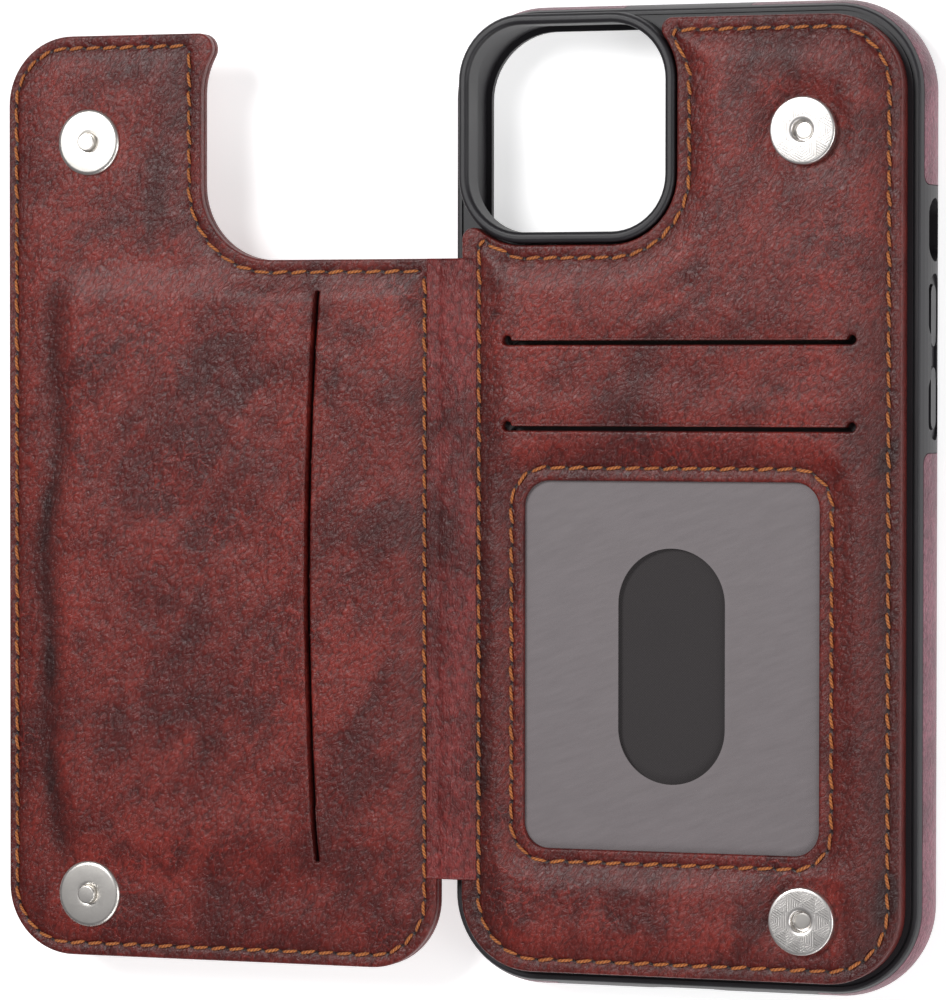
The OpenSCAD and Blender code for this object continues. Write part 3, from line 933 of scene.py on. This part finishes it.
@dataclass(frozen=True)
class Thread:
    """Waxed two-ply thread whose twist runs along each stitch's own UV map."""

    name: str
    light: Colour
    dark: Colour

    def material(self) -> bpy.types.Material:
        """Builds the thread: the twist is a sine of distance along plus angle round, painted with shade
        between the plies and highlight on their crests.
        """
        s = Shader(self.name)
        along, around, _ = s.split(s.uv())
        ply = s.math("SINE", (along * 4.0 + around * 2.0) * (2 * math.pi)) * 0.5 + 0.5
        fuzz = s.noise(s.place(), 0.25 * MM, 3, 0.7)
        tone = s.noise(s.place(), 7 * MM, 2, 0.5)
        # Painted shade between the plies and painted highlight on their crests, with fuzz.
        base = s.mix(ply * 0.75 + fuzz * 0.25, colour(*self.dark), colour(*self.light))
        base = s.mix(tone.step(0.35, 0.75) * 0.35, base, colour(*self.dark))
        normal = s.bump(ply * 0.8 + fuzz * 0.4, 0.07 * MM)
        return s.done(Base_Color=base, Roughness=0.52 + fuzz * 0.2, Normal=normal,
                      Sheen_Weight=0.15)


@dataclass(frozen=True)
class Metal:
    """Bright plated metal with fine polishing marks, and engraved triangles where asked."""

    name: str
    tone: Colour
    rough: float = 0.24
    hatched: tuple[float, float] | None = None
    pitch: float = 0.36
    triangle: float = 2.3

    def material(self) -> bpy.types.Material:
        """Builds the metal, with the hatch's inner and outer radii in hatched."""
        s = Shader(self.name)
        at = s.place()
        grime = s.noise(at, 2.4 * MM, 4, 0.6)
        scratch = s.noise(s.stretched(at, (14, 1, 1), 35), 0.07 * MM, 3, 0.6)
        worn = shade(self.tone, 0.78)
        base = s.mix(grime.step(0.35, 0.8) * 0.35, colour(*self.tone), worn)
        rough = self.rough + grime * 0.14 + scratch * 0.06
        normal = s.bump(scratch, 0.003 * MM)
        if self.hatched:
            line = self.hatch(s, *self.hatched)
            normal = s.bump(1 - line, 0.03 * MM, normal)
            base = s.mix(line * 0.4, base, shade(self.tone, 0.5))
        return s.done(Base_Color=base, Roughness=rough, Metallic=1.0, Normal=normal)

    def hatch(self, s: Shader, inner: float, outer: float) -> Value:
        """Engraved lines in a tiling of triangles.

        The tiles are the cells of three sets of parallel strips turned 60 degrees from each
        other. The sum of a tile's three strip numbers, modulo 3, picks which way its lines run.

        Args:
            s: the material's shader.
            inner: the hatched ring's inner radius in millimetres.
            outer: its outer radius in millimetres.

        Returns:
            1 in a line and 0 beside it.
        """
        x, y, _ = s.split(s.uv())
        ways = [x * math.cos(a) + y * math.sin(a) for a in (0, math.pi / 3, 2 * math.pi / 3)]
        strips = [s.math("FLOOR", way / self.triangle) for way in ways]
        picked = s.math("FLOORED_MODULO", strips[0] + strips[1] + strips[2], 3.0)
        total = 0.0
        for number, way in enumerate(ways):
            wave = s.math("SINE", way * (2 * math.pi / self.pitch)).step(0.1, 0.9)
            total = wave * s.math("COMPARE", picked, float(number), 0.5) + total
        ring = s.math("SQRT", x * x + y * y)
        return total * ring.step(inner, inner + 0.1) * (1 - ring.step(outer - 0.1, outer))


@dataclass(frozen=True)
class Moulding:
    """Satin moulded rubber with a fine spark texture and faint rubbed patches."""

    name: str
    tone: Colour
    rough: float = 0.4

    def material(self) -> bpy.types.Material:
        """Builds the moulded finish."""
        s = Shader(self.name)
        at = s.place()
        spark = s.noise(at, 0.22 * MM, 3, 0.7)
        rub = s.noise(at, 11 * MM, 3, 0.55)
        base = s.mix(rub.step(0.4, 0.75) * 0.5, colour(*self.tone), shade(self.tone, 1.35, 3))
        return s.done(Base_Color=base, Roughness=self.rough + rub * 0.1 + spark * 0.06,
                      Normal=s.bump(spark, 0.012 * MM), Coat_Weight=0.08, Coat_Roughness=0.35)


@dataclass(frozen=True)
class Cloth:
    """Close-woven lining: crossed threads, a soft nap and slight shade changes."""

    name: str
    tone: Colour
    thread: float = 0.42 * MM

    def material(self) -> bpy.types.Material:
        """Builds the lining: the weave is the product of a sine along x and one along y."""
        s = Shader(self.name)
        at = s.place()
        x, y, _ = s.split(at)
        wave = 2 * math.pi / self.thread
        weave = s.math("SINE", x * wave) * s.math("SINE", y * wave) * 0.5 + 0.5
        nap = s.noise(at, 0.5 * MM, 4, 0.7)
        patches = s.noise(at, 12 * MM, 3, 0.5)
        base = s.mix(weave * 0.5 + nap * 0.3, shade(self.tone, 0.7), colour(*self.tone))
        base = s.mix(patches.step(0.4, 0.8) * 0.3, base, shade(self.tone, 0.75))
        return s.done(Base_Color=base, Roughness=0.82 + nap * 0.1,
                      Normal=s.bump(weave * 0.6 + nap * 0.6, 0.05 * MM), Sheen_Weight=0.2)


@dataclass(frozen=True)
class Film:
    """Frosted clear film: hazy, with faint ripples and scuffs."""

    name: str
    tone: Colour
    cover: float

    def material(self) -> bpy.types.Material:
        """Builds the film: alpha is its haze, a little denser where it is scuffed."""
        s = Shader(self.name)
        at = s.place()
        scuff = s.noise(s.stretched(at, (5, 1, 1), 20), 1 * MM, 4, 0.65)
        ripple = s.noise(at, 30 * MM, 1, 0.4)
        base = s.mix(scuff * 0.5, colour(*self.tone), shade(self.tone, 1.12))
        return s.done(Base_Color=base, Roughness=0.3 + scuff * 0.12, Normal=s.bump(ripple, 0.15 * MM),
                      Alpha=self.cover + scuff * 0.1)


class Finishes:
    """Every material of the case, built once."""

    def __init__(self) -> None:
        """Builds the materials."""
        self.leather = Leather("burgundy_leather", (132, 42, 34), (92, 18, 13), (48, 8, 7)).material()
        self.hinge = Leather("hinge_leather", (132, 50, 48), (92, 24, 22), (44, 9, 9), Grain.COARSE,
                             shade_and_edge_marks=False, draw=-8.0).material()
        self.inlay = Leather("inlay_leather", (138, 82, 96), (112, 62, 76), (78, 40, 50),
                             shade_and_edge_marks=False).material()
        self.thread = Thread("tan_thread", (214, 130, 60), (128, 62, 22)).material()
        self.nickel = Metal("plain_nickel", (236, 232, 226), 0.24).material()
        self.engraved = Metal("engraved_nickel", (236, 232, 228), 0.26, (2.3, 4.75)).material()
        self.steel = Metal("dark_steel", (150, 146, 140), 0.38).material()
        self.tray = Moulding("satin_rubber", (27, 25, 29)).material()
        self.pad = Moulding("key_rubber", (24, 22, 26), 0.34).material()
        self.lining = Cloth("charcoal_lining", (62, 57, 58)).material()
        self.board = Cloth("grey_board", (72, 64, 60), 0.9 * MM).material()
        self.film = Film("frosted_film", (150, 142, 144), 0.42).material()


# ---- sub-assemblies ------------------------------------------------------------------------


@dataclass
class Stitching:
    """The thread of one seam: a slanted, crowned bar over every stitch of the CAD seam.

    A bar is rings round a line: the line rises from one needle hole and dips into the next
    as 1 minus the fourth power of the way along, and the ring's radius shrinks as it dips.
    """

    seam: Seam
    name: str
    level: float
    faces_up: bool = True
    rings: int = 7
    sides: int = 6
    radius: float = 0.27 * MM
    crown: float = 0.26 * MM
    dip: float = 0.2 * MM
    slant: float = 0.15 * MM
    short: float = 0.02 * MM

    def build(self, material: bpy.types.Material) -> bpy.types.Object:
        """Makes all the bars as one mesh.

        Args:
            material: the thread.

        Returns:
            The new object.
        """
        count = len(self.seam.middle)
        along = np.linspace(-1, 1, self.rings)[None, :, None]
        turn = np.arange(self.sides)[None, None, :] * 2 * math.pi / self.sides
        heading = self.seam.heading
        flip = np.where(heading[:, 0] + 1e-3 * heading[:, 1] < 0, -1.0, 1.0)[:, None]
        heading = heading * flip
        across = np.stack([-heading[:, 1], heading[:, 0]], axis=1)
        uneven = np.sin(np.arange(count) * 2.4)[:, None, None]
        half = self.seam.length[:, :, None] / 2 - self.short
        size = self.radius * (1 - 0.45 * along**4) * (1 + 0.06 * uneven)
        side = size * np.cos(turn) + self.slant * along * (1 + 0.4 * uneven)
        rise = self.crown * (1 - along**4) - self.dip * along**4 + 0.75 * size * np.sin(turn)
        sign = 1 if self.faces_up else -1
        middle = self.seam.middle[:, None, None, :2]
        plan = (middle + (along * half * (1 + 0 * turn))[..., None] * heading[:, None, None, :]
                + side[..., None] * across[:, None, None, :])
        z = self.level + sign * rise
        points = np.concatenate([plan, z[..., None]], axis=-1).reshape(-1, 3)
        per = self.rings * self.sides
        quads = grid_faces(self.rings, self.sides, wrap_cols=True)[:, ::1 if self.faces_up else -1]
        start = np.arange(count)[:, None, None] * per
        faces = (quads[None] + start).reshape(-1, 4).tolist()
        ends = np.stack([np.arange(self.sides)[::-1], per - self.sides + np.arange(self.sides)])
        ends = ends if self.faces_up else ends[:, ::-1]
        faces += (ends[None] + start).reshape(-1, self.sides).tolist()
        one = np.stack(np.broadcast_arrays((along[0] + 1) / 2, turn[0] / (2 * math.pi)), axis=-1)
        uv = np.tile(one.reshape(-1, 2), (count, 1))
        return new_object(self.name, points, faces, material, uv=uv)


def revolve(name: str, places: Array, level: float, profile: Array, material: bpy.types.Material,
            sides: int = 96) -> bpy.types.Object:
    """Turned pieces: a profile of (radius, height) carried round a vertical axis at each place.

    The faces point into the body.

    Args:
        name: the piece's name.
        places: plan places of the axes.
        level: the height that the profile counts from.
        profile: the profile's points, closed, with its body on the left going round.
        material: the finish.
        sides: steps round the circle.

    Returns:
        The new object, with (x, y) from the axis in millimetres as its UV map.
    """
    turn = np.arange(sides) * 2 * math.pi / sides
    ring = np.stack([np.cos(turn), np.sin(turn)], axis=1)
    local = profile[:, None, :1] * ring[None]
    height = np.broadcast_to(profile[:, None, 1:] + level, (*local.shape[:2], 1))
    closed = profile[0, 0] > 1e-9
    quads = grid_faces(len(profile), sides, wrap_rows=closed, wrap_cols=True)[:, ::-1]
    points, faces, uv = [], [], []
    for number, place in enumerate(places):
        points.append(np.concatenate([local + place, height], axis=-1).reshape(-1, 3))
        faces.append(quads + number * len(profile) * sides)
        uv.append(local.reshape(-1, 2) / MM)
    points, faces, uv = weld(np.concatenate(points), np.concatenate(faces), np.concatenate(uv))
    return new_object(name, points, faces, material, uv=uv)


def weld(points: Array, quads: Array, uv: Array) -> tuple[Array, list[list[int]], Array]:
    """Joins vertices that are at the same place, as at a pole.

    Args:
        points: vertex places.
        quads: vertex numbers, four to a row.
        uv: (u, v) at each vertex.

    Returns:
        The kept vertices, the faces with at least three corners left, and the kept (u, v).
    """
    keys = np.round(points / (0.0005 * MM)).astype(np.int64)
    _, first, index = np.unique(keys, axis=0, return_index=True, return_inverse=True)
    corners = [list(dict.fromkeys(quad)) for quad in index.ravel()[quads].tolist()]
    return points[first], [face for face in corners if len(face) > 2], uv[first]


def rounded(points: list[tuple[float, float]], radius: float, steps: int = 4) -> Array:
    """A profile in millimetres with each corner off the axis rounded by a quadratic curve.

    Args:
        points: the corners, closed.
        radius: how far from a corner the curve starts, less where the sides are short.
        steps: points on each curve.

    Returns:
        The profile's points in metres.
    """
    p = np.array(points, float)
    before, after = np.roll(p, 1, axis=0) - p, np.roll(p, -1, axis=0) - p
    off_axis = p[:, :1] > 0
    reach_b = off_axis * np.minimum(radius / np.linalg.norm(before, axis=1), 0.45)[:, None]
    reach_a = off_axis * np.minimum(radius / np.linalg.norm(after, axis=1), 0.45)[:, None]
    t = np.linspace(0, 1, steps)[None, :, None]
    start, end = (p + before * reach_b)[:, None], (p + after * reach_a)[:, None]
    curve = (1 - t) ** 2 * start + 2 * t * (1 - t) * p[:, None] + t**2 * end
    return curve.reshape(-1, 2) * MM


def pair_places(node: str) -> Array:
    """Plan middles of a CAD node's two solids, one above and one below the middle.

    Args:
        node: the CAD node's name.

    Returns:
        Two plan points, the upper solid's first.
    """
    corners = node_triangles(node)
    middle = corners.mean(axis=1)[:, 1]
    halves = [corners[middle > 0].reshape(-1, 3), corners[middle < 0].reshape(-1, 3)]
    return np.array([(h.max(axis=0) + h.min(axis=0))[:2] / 2 for h in halves])


@dataclass
class Clasps:
    """Two magnetic clasps: engraved cups on the panel and plain studs on the flap."""

    lip: float = 0.2
    skin: float = 0.3
    floor: float = 0.12
    cup_bore: float = 1.05
    eyelet_stem: float = 0.98
    disc_bore: float = 1.42
    post_radius: float = 1.44

    def build(self, looks: Finishes) -> None:
        """Makes the four kinds of turned pieces and dresses the hidden ones.

        Args:
            looks: the materials.
        """
        sockets, studs = pair_places("socket_cover"), pair_places("stud_disc")
        low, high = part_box("socket_cover")
        face, tall = low.z, (high.z - low.z) / MM
        wide = (high.x - low.x) / 2 / MM
        low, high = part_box("socket_rivet")
        head = (high.x - low.x) / 2 / MM
        foot, top = (low.z - face) / MM, (high.z - face) / MM
        mouth, skin = head + 0.28, self.skin
        cup = rounded([(self.cup_bore, 0), (mouth + 0.25, 0), (mouth + 0.25, tall - skin),
                       (wide - skin, tall - skin), (wide - skin, 0), (wide, 0), (wide, tall - 0.12),
                       (wide - 0.3, tall), (mouth + 0.45, tall + 0.04), (mouth, tall - 0.08),
                       (mouth, self.floor), (self.cup_bore, self.floor)], self.lip)
        cups = revolve("socket_covers", sockets, face, cup, looks.engraved)
        settle(cups, CASE, "nickel", "socket_cover")
        stem, seat = self.eyelet_stem, self.floor + 0.01
        eye = rounded([(0, foot), (stem, foot), (stem, seat), (head, seat), (head, top - 0.04),
                       (head - 0.25, top), (0, top)], 0.12)
        eyelets = revolve("socket_eyelets", sockets, face, eye, looks.nickel, 64)
        settle(eyelets, CASE, "steel", "socket_rivet")
        low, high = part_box("stud_disc")
        wide, tall = (high.x - low.x) / 2 / MM, (high.z - low.z) / MM
        bore = self.disc_bore
        disc = rounded([(bore, 0), (wide, 0), (wide, tall - 0.25), (wide - 0.45, tall),
                        (2.0, tall + 0.02), (bore, tall - 0.05)], 0.2)
        settle(revolve("stud_discs", studs, low.z, disc, looks.nickel), FLAP, "nickel", "stud_disc")
        foot, top = ((corner.z - low.z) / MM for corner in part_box("stud_rivet"))
        wide = self.post_radius
        post = rounded([(0, foot), (1.0, foot), (1.0, 0), (wide, 0), (wide, top - 0.1), (1.3, top),
                        (0, top)], 0.1)
        settle(revolve("stud_posts", studs, low.z, post, looks.nickel, 64), FLAP, "nickel", "stud_rivet")
        for node in ("socket_magnet", "socket_washer", "stud_washer"):
            dress(node, looks.steel)


def settle(thing: bpy.types.Object, body: str, slot: str, *nodes: str) -> None:
    """Makes a piece ride on a body and lets it stand for CAD nodes.

    Args:
        thing: the piece.
        body: the body that carries it.
        slot: the kind of finish; not used.
        nodes: the CAD nodes that it stands for.
    """
    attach(thing, body)
    if nodes:
        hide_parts(*nodes)
    LOG.info("%s: %d faces on %s, for %s", thing.name, len(thing.data.polygons), body,
             ", ".join(nodes) or "-")


def dress(node: str, material: bpy.types.Material) -> None:
    """Gives a CAD node its finish.

    Args:
        node: the CAD node's name.
        material: the finish.
    """
    mesh = frame["nodes"][node].data
    mesh.materials.clear()
    mesh.materials.append(material)
    LOG.info("%s: dressed with %s", node, material.name)


@dataclass
class CardPanel:
    """The case's leather panel with its card pockets, window and two seams."""

    puff: float = 0.85 * MM
    lip_rise: float = 0.25 * MM
    lip_reach: float = 7 * MM

    def slits(self) -> list[Array]:
        """Outlines of the two card slits, upper first."""
        loops = face_outlines("panel_facing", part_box("panel_facing")[1].z)
        wide = [l for l in loops[1:] if np.ptp(l[:, 0]) > 40 * MM and np.ptp(l[:, 1]) < 5 * MM]
        return sorted(wide, key=lambda l: -l[:, 1].mean())

    def pillow(self, cut: Cut, plan: Array) -> Array:
        """The fullness between the seams, 0 to 1: none by the rim, in the window or at a clasp."""
        low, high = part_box("window_stitching")
        beyond = np.maximum(np.abs(plan[:, 0] - (low.x + high.x) / 2) - (high.x - low.x) / 2,
                            np.abs(plan[:, 1] - (low.y + high.y) / 2) - (high.y - low.y) / 2)
        full = smooth(cut.seam, -0.4 * MM, 4.8 * MM) * smooth(beyond, -0.2 * MM, 0.4 * MM)
        for place in pair_places("socket_cover"):
            full *= smooth(np.linalg.norm(plan - place, axis=1), 4.5 * MM, 9.5 * MM)
        return full * smooth(cut.rim, 1.7 * MM, 2.6 * MM)

    def relief(self, cut: Cut, plan: Array) -> Array:
        """The pillow's height, and a lip that lifts under each card slit.

        A lip falls off as a smooth step below its slit and as a root of a sine along it.
        """
        height = self.puff * self.pillow(cut, plan)
        for slit in self.slits():
            low, high = slit.min(axis=0), slit.max(axis=0)
            along = np.clip((plan[:, 0] - low[0]) / (high[0] - low[0]), 0, 1)
            bow = np.sin(math.pi * along) ** 0.5
            below = slit[:, 1].mean() - plan[:, 1]
            lip = np.where(below > 0, smooth(self.lip_reach - below, 0, self.lip_reach), 0)
            above = np.where(below <= 0, smooth(below, -3 * MM, 0), 0)
            height += bow * self.lip_rise * (lip - above)
        wave = np.sin(plan[:, 0] * 210 + 2 * np.sin(plan[:, 1] * 90)) * np.sin(plan[:, 1] * 170)
        return height + 0.05 * MM * wave * smooth(cut.edge, 2 * MM, 6 * MM)

    def darkening(self, cut: Cut, plan: Array) -> Array:
        """Darker colour beside the window, fading above its top, and, less, by the slits' right ends."""
        low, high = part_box("window_stitching")
        window = smooth(np.abs(plan[:, 0] - (low.x + high.x) / 2), (high.x - low.x) / 2, 29 * MM)
        window *= 1 - 0.8 * smooth(plan[:, 1], high.y, high.y + 22 * MM)
        ends = [np.hypot(plan[:, 0] - s[:, 0].max(), plan[:, 1] - s[:, 1].mean()) for s in self.slits()]
        beside = sum(np.exp(-((away / (4 * MM)) ** 2)) for away in ends)
        return 0.6 * window + 0.5 * beside * smooth(plan[:, 0], 60 * MM, 66 * MM)

    def build(self, looks: Finishes) -> None:
        """Makes the leather and its thread, and dresses the layers behind it."""
        rim, window = Seam("panel_stitching"), Seam("window_stitching")
        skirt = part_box("panel_backing")[0].z
        sheet = Sheet("panel_leather", "panel_facing", [rim, window], skirt, self.relief, self.darkening)
        settle(sheet.build(looks.leather), CASE, "leather", "panel_facing")
        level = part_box("panel_facing")[1].z - 0.12 * MM
        for seam, name in ((rim, "panel_thread"), (window, "window_thread")):
            settle(Stitching(seam, name, level).build(looks.thread), CASE, "thread", seam.node)
        dress("panel_backing", looks.board)
        dress("pocket_divider", looks.lining)
        dress("window_film", looks.film)


@dataclass
class Flap:
    """The flap: two stitched leathers over a board, with a long bowed pocket slit."""

    puff: float = 0.8 * MM
    lip_rise: float = 0.35 * MM
    pocket_in: float = 6.5 * MM

    def slit(self) -> Array:
        """Outline of the pocket's slit."""
        loops = face_outlines("flap_inner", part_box("flap_inner")[1].z)
        return max(loops[1:], key=perimeter)

    def foot(self, plan: Array) -> Array:
        """How far points are to the right of the swell's left foot, which wanders as two sines."""
        wander = 1.1 * MM * np.sin(plan[:, 1] * 75) + 0.7 * MM * np.sin(plan[:, 1] * 190)
        return plan[:, 0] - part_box("flap_inner")[0].x - self.pocket_in - wander

    def rows(self, plan: Array) -> Array:
        """1 beside the slit and 0 beyond the pocket's top and low ends."""
        low, high = self.slit()[:, 1].min(), self.slit()[:, 1].max()
        up = smooth(plan[:, 1], low - 5 * MM, low + 4 * MM)
        return up * (1 - smooth(plan[:, 1], high - 2 * MM, high + 5 * MM))

    def inner_relief(self, cut: Cut, plan: Array) -> Array:
        """The pocket's swell: smooth steps up from its left, top and low ends, ending in a
        raised lip along the slit, with slow waves where the leather is slack."""
        slit = self.slit()
        order = np.argsort(slit[:, 1])
        beyond = np.interp(plan[:, 1], slit[order, 1], slit[order, 0]) - plan[:, 0]
        covered = smooth(beyond, -0.1 * MM, 0.1 * MM)
        ends = np.minimum(plan[:, 1] - slit[:, 1].min(), slit[:, 1].max() - plan[:, 1])
        lip = self.lip_rise * covered * np.exp(-np.abs(beyond) / (4 * MM)) * smooth(ends, 0, 8 * MM)
        swell = self.puff * smooth(self.foot(plan), 0, 5.5 * MM) * self.rows(plan)
        swell *= (0.55 + 0.45 * covered) * smooth(cut.rim, 2.6 * MM, 6 * MM)
        wave = np.sin(plan[:, 0] * 160 + 3 * np.sin(plan[:, 1] * 60)) * np.sin(plan[:, 1] * 120 + 1.0)
        crown = 0.3 * MM * smooth(cut.seam, -0.4 * MM, 4.5 * MM) * smooth(cut.rim, 1.3 * MM, 2.2 * MM)
        return crown + swell + lip + 0.09 * MM * wave * smooth(cut.edge, 2 * MM, 7 * MM)

    def inner_painted_shade(self, cut: Cut, plan: Array) -> Array:
        """Painted shade along the swell's left foot, where the pocket's swell rises from the flat
        leather.
        """
        band = np.exp(-(((self.foot(plan) - 1.2 * MM) / (2.1 * MM)) ** 2))
        return 1.1 * band * self.rows(plan)

    def outer_relief(self, cut: Cut, plan: Array) -> Array:
        """A low crown inside the seam with slow waves."""
        wave = np.sin(plan[:, 0] * 130 + 2 * np.sin(plan[:, 1] * 70)) * np.sin(plan[:, 1] * 100)
        return (0.3 + 0.08 * wave) * MM * smooth(cut.rim, 2.4 * MM, 7 * MM)

    def build(self, looks: Finishes) -> None:
        """Makes both leathers with their thread, and dresses the layers between."""
        seam = Seam("flap_stitching")
        top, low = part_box("flap_inner")[1].z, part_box("flap_outer")[0].z
        middle = (top + low) / 2
        inner = Sheet("flap_inner_leather", "flap_inner", [seam], middle + 0.02 * MM, self.inner_relief,
                      self.inner_painted_shade)
        settle(inner.build(looks.leather), FLAP, "leather", "flap_inner")
        outer = Sheet("flap_outer_leather", "flap_outer", [seam], middle - 0.02 * MM, self.outer_relief,
                      faces_up=False)
        settle(outer.build(looks.leather), FLAP, "leather", "flap_outer")
        thread = Stitching(seam, "flap_inner_thread", top - 0.12 * MM)
        settle(thread.build(looks.thread), FLAP, "thread", "flap_stitching")
        back = Stitching(seam, "flap_outer_thread", low + 0.12 * MM, faces_up=False)
        settle(back.build(looks.thread), FLAP, "thread")
        dress("flap_board", looks.board)
        dress("flap_lining", looks.lining)


@dataclass
class HingeStrip:
    """The leather between flap and panel, across the line that the flap turns about.

    It laps over both margins as far as the seams. Its section is a closed line: the shown side
    is a crown that is fuller towards the panel, with a dip at the fold, and the back lies on
    the margins and sinks between them. Both end faces turn the other way from the sides.
    """

    rows: int = 260
    cols: int = 84
    crown: float = 0.5 * MM
    dip: float = 0.22 * MM
    shy: float = 0.42 * MM
    thick: float = 0.85 * MM

    def section(self, x: Array, fold: float) -> tuple[Array, Array]:
        """Heights above the leather of the shown side and of the back.

        Args:
            x: places across the strip, from the flap's side.
            fold: the fold line's x.

        Returns:
            The two heights at each x.
        """
        t = (x - x[0]) / (x[-1] - x[0])
        shown = self.crown * np.sin(math.pi * t) ** 0.55 * (0.5 + 0.5 * t) + 0.02 * MM
        shown -= self.dip * np.exp(-(((x - fold) / (0.8 * MM)) ** 2))
        left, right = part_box("flap_inner")[1].x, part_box("panel_facing")[0].x
        gap = smooth(x, left, left + 0.4 * MM) * (1 - smooth(x, right - 0.4 * MM, right))
        return shown, -0.06 * MM - (self.thick - 0.1 * MM) * gap

    def build(self, looks: Finishes) -> None:
        """Makes the strip in place of the CAD strip, which it hides."""
        low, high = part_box("hinge_strip")
        fold = fold_line()
        left = Seam("flap_stitching").middle[:, 0].max() + self.shy
        right = Seam("panel_stitching").middle[:, 0].min() - self.shy
        x = np.linspace(left, right, self.cols)
        y = np.linspace(low.y, high.y, self.rows)[:, None]
        shown, back = self.section(x, fold)
        fine = 0.03 * MM * np.sin(y * 900 + 3 * np.sin(x * 1500)[None, :]) * np.sin(y * 310)
        top = shown + fine * smooth(shown, 0, self.crown)
        z = high.z + np.concatenate([top, np.broadcast_to(back[::-1], top.shape)], axis=1)
        around = np.concatenate([x, x[::-1]])[None, :]
        points = np.stack(np.broadcast_arrays(around, y, z), axis=-1).reshape(-1, 3)
        count = 2 * self.cols
        faces = grid_faces(self.rows, count, wrap_cols=True).tolist()
        last = (self.rows - 1) * count
        faces += [list(range(count)), [last + i for i in range(count)][::-1]]
        strip = new_object("hinge_leather_strip", points, faces, looks.hinge)
        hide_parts("hinge_strip")
        fold + 1.2 * MM
        fold - 0.28 * MM
        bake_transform(strip)
        LOG.info("hinge_leather_strip: %d faces, blended from case to flap", len(strip.data.polygons))


@dataclass
class Tray:
    """The moulded tray, its key pads and the leather inlays in its side walls."""

    def build(self, looks: Finishes) -> None:
        """Dresses the tray's CAD nodes."""
        dress("tray", looks.tray)
        for node in ("volume_up_pad", "volume_down_pad", "power_pad"):
            dress(node, looks.pad)
        for end in ("upper", "lower"):
            for side in ("left", "right"):
                dress(f"inlay_{end}_{side}", looks.inlay)


# ---- stage ---------------------------------------------------------------------------------


@dataclass
class Studio:
    """Pale floor, soft lights and the camera."""

    turn: float = -20.168
    tilt: float = 1.344
    roll: float = -0.053
    distance: float = 799.06 * MM
    aim: tuple[float, float] = (5.546 * MM, -0.578 * MM)
    lens: float = 183.75
    floor_reach: float = 3.0
    floor_lines: int = 13
    floor_drop: float = 0.2 * MM

    def camera(self) -> None:
        """Places the camera: it looks down at the fold, turned about Y and then about X."""
        a, b, c = (math.radians(v) for v in (self.turn, self.tilt, self.roll))
        view = Matrix.Rotation(c, 3, "Z") @ Matrix.Rotation(b, 3, "X") @ Matrix.Rotation(a, 3, "Y")
        origin = Vector((fold_line(), 0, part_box("panel_facing")[1].z))
        back = view.transposed()
        data = bpy.data.cameras.new("view")
        data.lens = self.lens
        data.clip_start, data.clip_end = 0.01, 50
        eye = bpy.data.objects.new("view", data)
        place = origin + back @ Vector((*self.aim, self.distance))
        eye.matrix_world = Matrix.Translation(place) @ back.to_4x4()
        bpy.context.scene.collection.objects.link(eye)
        bpy.context.scene.camera = eye

    def light(self, name: str, place: tuple[float, float, float], size: tuple[float, float],
              watts: float) -> None:
        """Adds a soft box that faces the case.

        Args:
            name: the light's name.
            place: where it stands.
            size: its width and height.
            watts: its power.
        """
        data = bpy.data.lights.new(name, "AREA")
        data.shape = "RECTANGLE"
        data.size, data.size_y = size
        data.energy = watts
        lamp = bpy.data.objects.new(name, data)
        lamp.location = place
        lamp.rotation_mode = "QUATERNION"
        lamp.rotation_quaternion = (-Vector(place)).to_track_quat("-Z", "Y")
        bpy.context.scene.collection.objects.link(lamp)

    def floor(self) -> None:
        """Makes the floor: a wide level sheet with a faint mottle."""
        s = Shader("pale_floor")
        tone = s.noise(s.place(), 0.3, 2, 0.5)
        base = s.mix(tone, colour(246, 246, 246), colour(252, 252, 252))
        material = s.done(Base_Color=base, Roughness=0.75, Specular_IOR_Level=0.2,
                          Emission_Color=(1, 1, 1, 1), Emission_Strength=0.55)
        lines = np.linspace(-self.floor_reach, self.floor_reach, self.floor_lines)
        x, y = np.meshgrid(lines, lines)
        points = np.column_stack([x.ravel(), y.ravel(), np.full(x.size, -self.floor_drop)])
        faces = grid_faces(self.floor_lines, self.floor_lines).tolist()
        new_object("floor", points, faces, material)

    def build(self) -> None:
        """Sets the whole stage."""
        self.camera()
        self.floor()
        self.light("key", (-0.33, 0.36, 0.9), (0.4, 0.3), 6.4)
        self.light("fill", (0.85, -0.15, 0.5), (0.4, 0.9), 3.6)
        self.light("low", (0.45, -0.85, 0.7), (0.8, 0.4), 3.6)
        world = bpy.data.worlds.new("studio")
        world.use_nodes = True
        world.node_tree.nodes["Background"].inputs[0].default_value = (0.97, 0.95, 1, 1)
        world.node_tree.nodes["Background"].inputs[1].default_value = 0.14
        bpy.context.scene.world = world
        bpy.context.scene.view_settings.view_transform = "Standard"


def main() -> None:
    """Builds the stage and every sub-assembly, in order."""
    logging.basicConfig(level=logging.INFO, format="%(name)s: %(message)s")
    looks = Finishes()
    Studio().build()
    Tray().build(looks)
    CardPanel().build(looks)
    Flap().build(looks)
    HingeStrip().build(looks)
    Clasps().build(looks)


if __name__ == "__main__":
    main()
